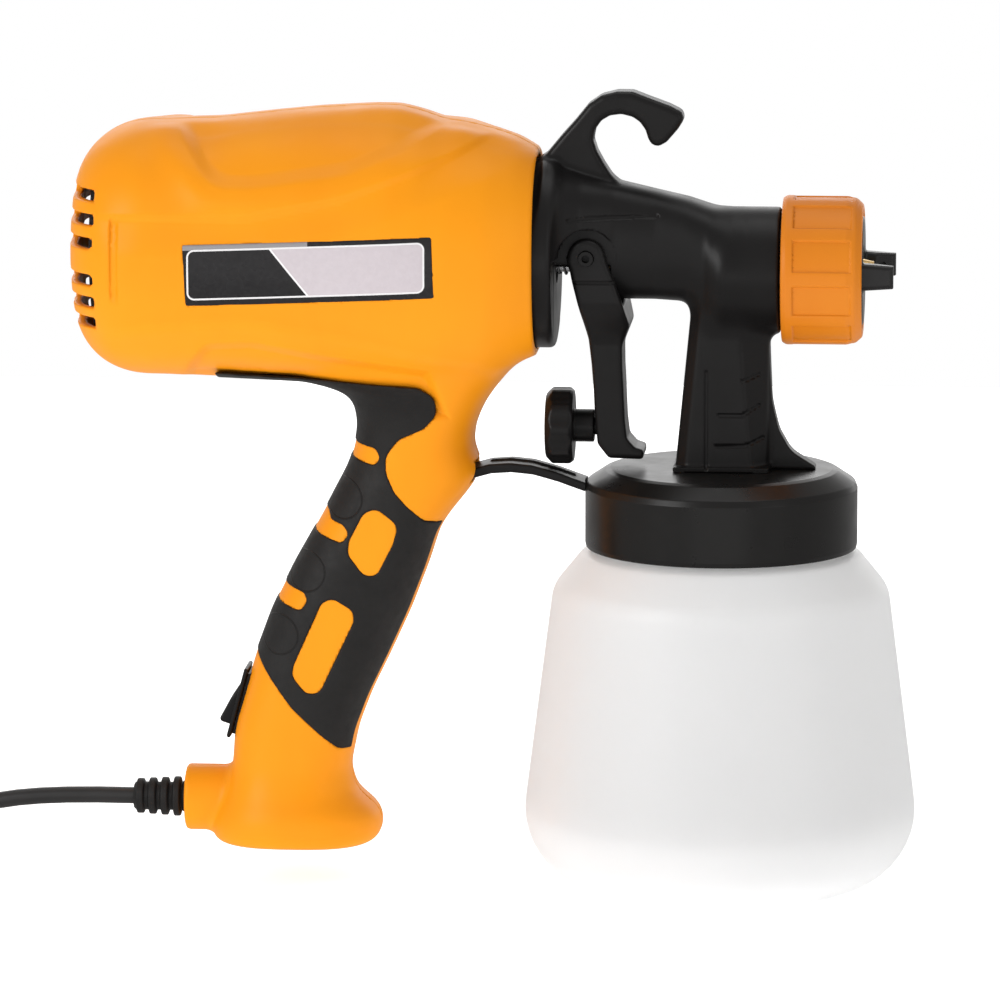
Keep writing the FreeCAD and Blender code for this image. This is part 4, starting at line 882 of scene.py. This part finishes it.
def casing_half(side):
    """One casing shell: side is -1 for the near half and 1 for the far one."""
    def field(x, y, z):
        sleek = sleek_shape(x, y, z)
        grip = grip_region(x, y, z)
        on_handle = (z < 171.5) & (x > -172)
        recess = np.where(on_handle, 1.2 * (1 - ease(grip, -0.9, 0.0)), 0.0)
        badge = badge_frame(x, z)
        recess = np.maximum(recess, np.where(np.abs(y) > 30, 1.25 * (1 - ease(badge, -0.9, -0.1)), 0.0))
        sunk = sleek + sculpted(x, y, z)
        outside = sunk + recess
        inner = sunk + 2.7 + 1.6 * (1 - ease(z, 150, 172))
        shell = np.maximum(outside, -inner)
        for post_x, post_z in SCREWS:
            far = np.hypot(x - post_x, z - post_z)
            shell = np.minimum(shell, np.maximum(np.maximum(far - 4.5, np.abs(y) - 26), outside))
            if side > 0:
                shell = smooth_max(shell, -np.maximum(far - 3.3, 14.0 - y), 0.5)
                shell = np.maximum(shell, -(far - 1.5))
            else:
                shell = np.maximum(shell, -np.maximum(far - 1.55, np.abs(y) - 12.5))
        for level in (190.3, 197.3, 204.7, 216.7, 224.3, 231.9):
            slot = np.hypot(np.maximum(np.abs(np.abs(y) - 21.0) - 15.5, 0), z - level) - 1.8
            shell = smooth_max(shell, -np.maximum(slot, x + 202.5), 0.7)
        mouth = np.hypot(y, z - 210.4)
        shell = np.maximum(shell, -np.maximum(mouth - 30.0, -66.5 - x))
        shell = np.maximum(shell, -np.maximum(mouth - 31.35, -63.1 - x))
        shell = smooth_max(shell, x + 60.4, 1.0)
        deep, up = switch_frame_coordinates(x, z)
        hole = np.maximum(np.maximum(np.abs(y) - 6.65, np.abs(up) - 10.65), np.abs(deep) - 14)
        seat = np.maximum(np.maximum(np.abs(y) - 7.9, np.abs(up) - 12.3), np.abs(deep + 6.3) - 6.4)
        shell = np.maximum(shell, -np.minimum(hole, seat))
        cable = rod(y, z - 26.5, x, 5.3, -190, -173.4, 0.1)
        collar = rod(y, z - 26.5, x, 7.05, -173.5, -150.0, 0.1)
        shell = np.maximum(shell, -np.minimum(cable, collar))
        strap = np.maximum(np.maximum(np.abs(y) - 7.9, slab(z, 135.4, 141.9)), slab(x, -87, -60))
        shell = np.maximum(shell, -strap)
        return smooth_max(shell, 0.03 - side * y, 0.55)

    name = "casing_near" if side < 0 else "casing_far"
    low_y, high_y = sorted((side * 48.0, -side * 1.0))
    solid(f"{name}_shell", field, (-216, low_y, 11), (-58.5, high_y, 262), 1.02, MATERIALS["casing"], "gun",
          [name])


def grip_half(side):
    """One half of the soft grip skin."""
    def field(x, y, z):
        sleek = sleek_shape(x, y, z)
        skin = np.maximum(sleek - 0.35, -(sleek + 1.15))
        edge = smooth_max(skin, grip_region(x, y, z) + 0.05, 0.6)
        deep, up = switch_frame_coordinates(x, z)
        seat = np.maximum(np.maximum(np.abs(y) - 8.0, np.abs(up) - 12.4), deep - 3)
        strap = np.maximum(np.maximum(np.abs(y) - 7.9, slab(z, 135.4, 141.9)), slab(x, -87, -60))
        edge = np.maximum(edge, -np.minimum(seat, strap))
        edge = np.maximum(edge, z - 172.5)
        return smooth_max(edge, 0.03 - side * y, 0.4)

    name = "grip_near" if side < 0 else "grip_far"
    low_y, high_y = sorted((side * 47.0, -side * 1.0))
    solid(f"{name}_skin", field, (-172, low_y, 38), (-76, high_y, 174), 0.62, MATERIALS["grip"], "gun",
          [name])


def badge_half(side):
    """The printed badge, curved with the casing."""
    def field(x, y, z):
        sleek = sleek_shape(x, y, z)
        plate = smooth_max(sleek - 0.15, -(sleek + 1.2), 0.3)
        plate = smooth_max(plate, badge_frame(x, z), 0.5)
        return np.maximum(plate, 30.0 - side * y)

    name = "badge_near" if side < 0 else "badge_far"
    low_y, high_y = sorted((side * 48.0, side * 36.0))
    solid(f"{name}_plate", field, (-176, low_y, 194), (-88, high_y, 224), 0.55, MATERIALS["badge"], "gun",
          [name])


def build_switch():
    """The rocker and its bezel in the back of the handle."""
    rocker = filleted([(-0.6, 8.2, 0.9), (-3.2, 0.4, 3), (-5.2, -7.9, 1.2), (1.0, -8.2, 1), (4.6, 0, 2),
                       (3.2, 8.2, 1)])

    def rocker_field(x, y, z):
        deep, up = switch_frame_coordinates(x, z)
        return smooth_max(outline(deep, up, rocker), np.abs(y) - 5.15, 0.9)

    def frame_field(x, y, z):
        deep, up = switch_frame_coordinates(x, z)
        bezel = smooth_max(np.maximum(np.abs(y) - 7.6, np.abs(up) - 12.0), slab(deep, -1.2, 0.2), 0.7)
        housing = np.maximum(np.maximum(np.abs(y) - 6.5, np.abs(up) - 10.5), slab(deep, 0.1, 13.0))
        well = np.maximum(np.maximum(np.abs(y) - 5.6, np.abs(up) - 9.4), slab(deep, -5.0, 6.5))
        return smooth_max(np.minimum(bezel, housing), -well, 0.4)

    solid("rocker", rocker_field, (-168, -6, 50), (-151, 6, 70), 0.4, MATERIALS["black"], "rocker",
          ["switch_rocker"])
    solid("rocker_bezel", frame_field, (-166, -8.5, 44), (-142, 8.5, 74), 0.45, MATERIALS["black"], "gun",
          ["switch_frame"])


# ---------------------------------------------------------------- gun body, trigger and brace

NECK = table([
    (-58, 184.5, 241, 27), (-54, 186, 240, 25.5), (-46, 191.5, 237.6, 19.5), (-35, 195.8, 234.8, 15),
    (-22, 195.8, 231.8, 14.2), (-10.8, 195.2, 229.2, 16), (-3.6, 190, 226.8, 17.5), (4, 190, 223, 16),
])
HOOK = filleted([(x, z, 2.5) for x, z in (
    (-59.3, 241.4), (-52.6, 249.6), (-48, 254.8), (-43.8, 260), (-39.6, 262.9), (-34.5, 264.2),
    (-29.4, 264.2), (-24.7, 262.4), (-17.3, 259.7), (-13.1, 257.6), (-12.6, 255.1), (-14.5, 252),
    (-18.2, 247.7), (-21, 246.1), (-23.3, 246.9), (-24.4, 249), (-25.2, 251.6), (-27, 254.1),
    (-29.4, 255.8), (-33.1, 256.7), (-36.8, 256.2), (-39.6, 254.5), (-41.6, 251.6), (-42.2, 248.3),
    (-41, 244.6), (-38.7, 240.4), (-35, 234.8), (-34, 229),
    (-58, 229))], 2)
WEB = filleted([(8, 192, 0), (14.5, 186, 3), (16.5, 163, 20), (19, 153, 12), (23, 146, 10), (31, 141, 2),
                (31, 139.92, 0), (0, 139.92, 0)])
GROOVES = [[(7.3, 170.1), (12.4, 172.0)], [(-0.1, 158.8), (7.0, 158.8), (12.4, 161.8)],
           [(-1.0, 148.5), (8.0, 148.7), (13.8, 151.0)], [(-4.5, 141.0), (-4.5, 173.0)]]
TRIGGER = filleted([
    (-49.9, 210.9, 0), (-48.3, 203, 4), (-45.0, 190, 6), (-43.4, 183.2, 6), (-42.4, 174.8, 8),
    (-41.7, 166.1, 8), (-41.4, 159.4, 8), (-40.4, 148.4, 3), (-36.7, 143.7, 2), (-25.2, 143.4, 1.2),
    (-25.2, 146.5, 1.2), (-28.1, 147.4, 2), (-30.6, 150.2, 3), (-31.3, 156, 6), (-31.8, 166.6, 8),
    (-32.2, 174, 8), (-32.3, 181, 6), (-29.6, 188.0, 3), (-31.6, 195.3, 4), (-34.4, 203.4, 4),
    (-37.5, 210.9, 0),
])


def pillar_shape(x, y, z):
    """The upright under the barrel: a block with chamfers and a thin web in front, for y of 0 or more."""
    back = -14.9 + 0.095 * np.clip(z - 140.0, 0, 60)
    block = smooth_max(slab(x, back, 15.4), y - 12.0, 1.2)
    start = 10.6 - 0.103 * np.clip(z - 140.0, 0, 40)
    run = 15.4 - start
    front = ((x - start) * 6.0 + (y - 12.0) * run) / np.hypot(6.0, run)
    rear = (-(x - back - 3.7) * 3.4 + (y - 12.0) * 3.7) / 5.02
    block = smooth_max(smooth_max(block, front, 0.8), rear, 0.8)
    web = smooth_max(outline(x, z, WEB), y - 4.0, 1.0)
    foot = np.maximum(smooth_max(slab(x, -14.9, 15.4) - 0.6, y - 12.6, 1.0), z - 141.6)
    return np.maximum(smooth_min(smooth_min(block, web, 2.5), foot, 1.2), slab(z, 139.92, 202.0))


def build_gun_body():
    """The moulded body: flange, neck with its hook, barrel and the pillar standing on the lid."""
    def field(x, y, z):
        y = np.abs(y)
        flange = rod(y, z - 210.4, x, 31.1, -62.85, -54.3, 2.4)
        spigot = rod(y, z - 210.4, x, 26.5, -68.8, -62.0, 0.6)
        low, high, half = NECK(x)
        neck = oval(y, z - (low + high) / 2, half, (high - low) / 2, 2.7) * 0.9
        neck = smooth_max(neck, slab(x, -57.5, 6.0), 1.0)
        barrel = smooth_max(np.hypot(y, z - SPRAY_Z) - 20.6, -3.6 - x, 6.0)
        barrel = smooth_max(barrel, x - 19.2, 1.2)
        nose = rod(y, z - SPRAY_Z, x, 19.45, 18.0, 33.0, 0.8)
        pillar = pillar_shape(x, y, z)
        hook = smooth_max(outline(x, z, HOOK), y - 5.5, 2.4)
        hook = np.maximum(hook, -60.2 - x)
        solid_shape = smooth_min(neck, barrel, 3.0)
        solid_shape = smooth_min(solid_shape, pillar, 5.0)
        solid_shape = smooth_min(solid_shape, flange, 4.0)
        solid_shape = smooth_min(solid_shape, hook, 2.2)
        solid_shape = np.minimum(solid_shape, np.minimum(spigot, nose))
        crease = stroke(x, z, [(-49.0, 223.6), (-21.0, 224.4)])
        lines = 0.5 * (1 - ease(crease, 0.3, 1.0)) * ease(y, 8.0, 10.0)
        for groove in GROOVES:
            lines = lines + 0.45 * (1 - ease(stroke(x, z, groove), 0.25, 0.9)) * ease(y, 5.0, 7.0)
        solid_shape = solid_shape + lines
        arch = np.maximum(slab(x, -54.3, -36.0), z - 208.4)
        ear_round = np.maximum(np.hypot(x - PIVOT[0], z - PIVOT[1]) - 9.4, 15.0 - y)
        ear_drop = np.maximum(np.maximum(slab(x, -54.3, -34.3), slab(z, 180.0, PIVOT[1])), 15.0 - y)
        solid_shape = smooth_max(solid_shape, -arch, 0.6)
        solid_shape = smooth_max(solid_shape, -np.minimum(ear_round, ear_drop), 0.6)
        radius = np.hypot(y, z - SPRAY_Z)
        bores = np.maximum(radius - 3.2, slab(x, -29.0, 40.0))
        bores = np.minimum(bores, np.maximum(radius - 5.0, slab(x, -37.5, -28.0)))
        bores = np.minimum(bores, np.maximum(radius - 5.2, slab(x, -62.0, -50.0)))
        bores = np.minimum(bores, np.maximum(np.maximum(7.6 - radius, radius - 16.5), slab(x, 4.0, 40.0)))
        bores = np.minimum(bores, np.maximum(radius - 9.1, slab(x, 27.0, 40.0)))
        pin = np.hypot(x - PIVOT[0], z - PIVOT[1]) - 2.45
        bores = np.minimum(bores, pin)
        return np.maximum(solid_shape, -bores)

    solid("gun_shell", field, (-70, -33, 139), (35, 33, 266), 0.72, MATERIALS["black"], "gun",
          ["gun_body"])


def build_trigger():
    """The forked trigger: a finger blade that widens into two ears round the neck."""
    def field(x, y, z):
        wide = np.abs(y)
        head = np.hypot(x - PIVOT[0], z - PIVOT[1]) - 6.2
        shape = smooth_min(outline(x, z, TRIGGER), head, 1.0)
        shape = smooth_max(shape, wide - 9.5 - 8.8 * ease(z, 181.0, 197.0), 2.0)
        gap = np.maximum(wide - 15.2, 198.6 - z)
        gap = np.minimum(gap, np.maximum(wide - 15.2, np.maximum(195.3 - z, -37.2 - x)))
        shape = smooth_max(shape, -gap, 0.8)
        web = np.maximum(slab(x, -44.0, -40.5), np.maximum(wide - 9.4, slab(z, 197, 207.6)))
        web = np.maximum(web, -np.maximum(wide - 1.85, slab(z, 202.4, 211)))
        shape = np.minimum(shape, web)
        line = (1 - ease(np.abs(z - 203.0), 0.2, 0.8)) * ease(head, 0.6, 1.2) * ease(wide, 16.5, 17.5)
        shape = shape + 0.4 * line
        bore = np.hypot(x - PIVOT[0], z - PIVOT[1]) - 2.5
        screw = np.maximum(np.hypot(y, z - KNOB_Z) - 3.1, x + 33.0)
        return np.maximum(shape, -np.minimum(bore, screw))

    solid("trigger_lever", field, (-52, -19.5, 142), (-23, 19.5, 219), 0.5, MATERIALS["black"], "trigger",
          ["trigger"])


def build_brace():
    """The strap from the handle's front down to the lid's side."""
    top = [(-83.5, 138.9, 0), (-76.0, 141.0, 4), (-69.2, 141.5, 10), (-62.0, 140.8, 10), (-54.0, 138.6, 10),
           (-43.0, 134.7, 0)]
    low = [(x + 0.4, z - 3.2, r) for x, z, r in reversed(top)]
    strap = filleted(top + low)

    def field(x, y, z):
        plate = smooth_max(outline(x, z, strap), np.abs(y) - 7.5, 1.0)
        rib = np.maximum(outline(x, z, strap + np.array([0, 0.0])) - 0.7, np.abs(y) - 1.2)
        shape = smooth_min(plate, np.maximum(rib, slab(x, -76.0, -48.0)), 0.6)
        return np.maximum(shape, 44.85 - np.hypot(x, y))

    solid("brace_strap", field, (-87, -9, 128), (-40, 9, 144), 0.5, MATERIALS["black"], "gun",
          ["cup_brace"])


# ---------------------------------------------------------------- turned pieces

def build_cup():
    """The blown paint bottle and its lid."""
    outer = [(0, 0, 0), (0, 68.0, 26.0), (100.0, 55.3, 12.0), (111.5, 46.0, 3.0), (113.0, 41.6, 1.0),
             (129.8, 41.6, 0.6)]
    inner = [(129.8, 39.9, 0.6), (111.0, 39.9, 1.5), (108.5, 44.2, 3.0), (98.5, 53.0, 8.0),
             (35.0, 61.6, 10.0),
             (27.0, 62.4, 8.0), (14.6, 59.4, 12.0), (5.5, 50.4, 12.0), (1.9, 37.0, 10.0), (1.9, 0, 0)]
    lathe("bottle", outer + inner, "Z", (0, 0), MATERIALS["cup"], "cup", ["cup_bottle"],
          160, 12)
    lathe("lid", [
        (113.7, 42.4, 0.3), (113.7, 44.5, 0.5), (115.2, 44.8, 0.4), (133.6, 44.8, 0.8), (135.6, 44.0, 1.2),
        (139.3, 38.4, 2.0), (139.9, 36.6, 1.0), (139.9, 5.2, 0.2), (131.7, 5.2, 0.2), (131.7, 42.4, 0.2),
    ], "Z", (0, 0), MATERIALS["lid"], "gun", ["cup_lid"], 160)


def build_nozzle():
    """The fluted orange ring, the air cap with its two horns, and the flow knob."""
    ring = filleted([
        (19.8, 20.0, 0.2), (19.8, 23.7, 0.8), (21.3, 24.45, 1.0), (41.0, 24.45, 2.5), (44.0, 23.6, 2.0),
        (46.0, 21.8, 1.2), (46.2, 20.6, 0.5), (46.0, 19.6, 0.5), (37.95, 19.6, 0.2), (37.95, 21.55, 0.1),
        (33.7, 21.55, 0.1), (33.7, 20.0, 0.2),
    ], 4)

    def nut(x, y, z):
        up = z - SPRAY_Z
        radius, angle = np.hypot(y, up), np.arctan2(y, up)
        wrapped = (angle * 10 / (2 * math.pi) + 0.5) % 1.0 - 0.5
        along = np.abs(wrapped) * 2 * math.pi / 10 * 24.5
        cut = np.maximum(23.75 - radius, np.maximum(along - 5.2, slab(x, 23.8, 42.4)))
        shape = outline(x, radius, ring)
        return smooth_max(shape, -cut, 0.7)

    solid("ring_nut", nut, (19, -25.5, 180), (47.5, 25.5, 231.5), 0.5, MATERIALS["nut"], "nozzle_nut",
          ["nozzle_nut"])

    disc = filleted([
        (34.45, 17.0, 0.2), (34.45, 21.2, 0.3), (37.5, 21.2, 0.3), (37.5, 19.0, 0.2), (44.6, 19.0, 0.8),
        (46.4, 17.4, 0.8), (46.2, 8.4, 0.8), (45.2, 7.8, 0.6), (45.2, 4.9, 0.2), (38.0, 8.2, 0.2),
        (38.0, 17.0, 0.2),
    ], 3)

    def cap(x, y, z):
        up, side = z - SPRAY_Z, np.abs(y)
        shape = outline(x, np.hypot(y, up), disc)
        taper = 4.6 - 0.07 * (x - 44.0)
        horn = np.maximum(np.abs(up) - taper, slab(x, 44.0, 56.4))
        inner = 12.6 + 0.28 * np.maximum(x - 50.0, 0)
        horn = smooth_max(horn, np.maximum(inner - side, side - 18.4), 1.6)
        port = np.maximum(np.hypot(x - 52.0, up) - 0.9, side - 15.5)
        shape = smooth_min(shape, horn, 0.9)
        holes = np.hypot(side - 11.0, up) - 0.7
        shape = np.maximum(shape, -np.maximum(holes, 44.0 - x))
        return np.maximum(shape, -port)

    solid("air_cap_moulding", cap, (33.5, -22.5, 183), (58.5, 22.5, 228.5), 0.5, MATERIALS["cap"], "air_cap",
          ["air_cap"])

    knob_outline = filleted([
        (-33.4, 0, 0), (-33.4, 3.0, 0.2), (-41.9, 3.0, 0), (-41.9, 5.4, 0.4), (-48.6, 5.4, 0.3),
        (-48.6, 11.6, 0.4), (-49.8, 12.7, 0.8), (-55.6, 12.7, 1.2), (-57.8, 10.4, 1.4), (-57.4, 0, 0),
    ], 3)

    def knob(x, y, z):
        up = z - KNOB_Z
        radius, angle = np.hypot(y, up), np.arctan2(y, up)
        wrapped = (angle * 10 / (2 * math.pi) + 0.5) % 1.0 - 0.5
        along = np.abs(wrapped) * 2 * math.pi / 10 * 12.7
        dent = np.hypot(along, radius - 16.6) - 4.6
        shape = outline(x, radius, knob_outline)
        return smooth_max(shape, -np.maximum(dent, slab(x, -60, -48.2)), 0.6)

    solid("knob_moulding", knob, (-59, -14, 139), (-32, 14, 168), 0.42, MATERIALS["black"], "knob",
          ["flow_knob"])


studio()
build_cord(build_plug())
dress_cad_nodes()
build_strain_relief()
for half in (-1, 1):
    casing_half(half)
    grip_half(half)
    badge_half(half)
build_switch()
build_gun_body()
build_trigger()
build_brace()
build_cup()
build_nozzle()
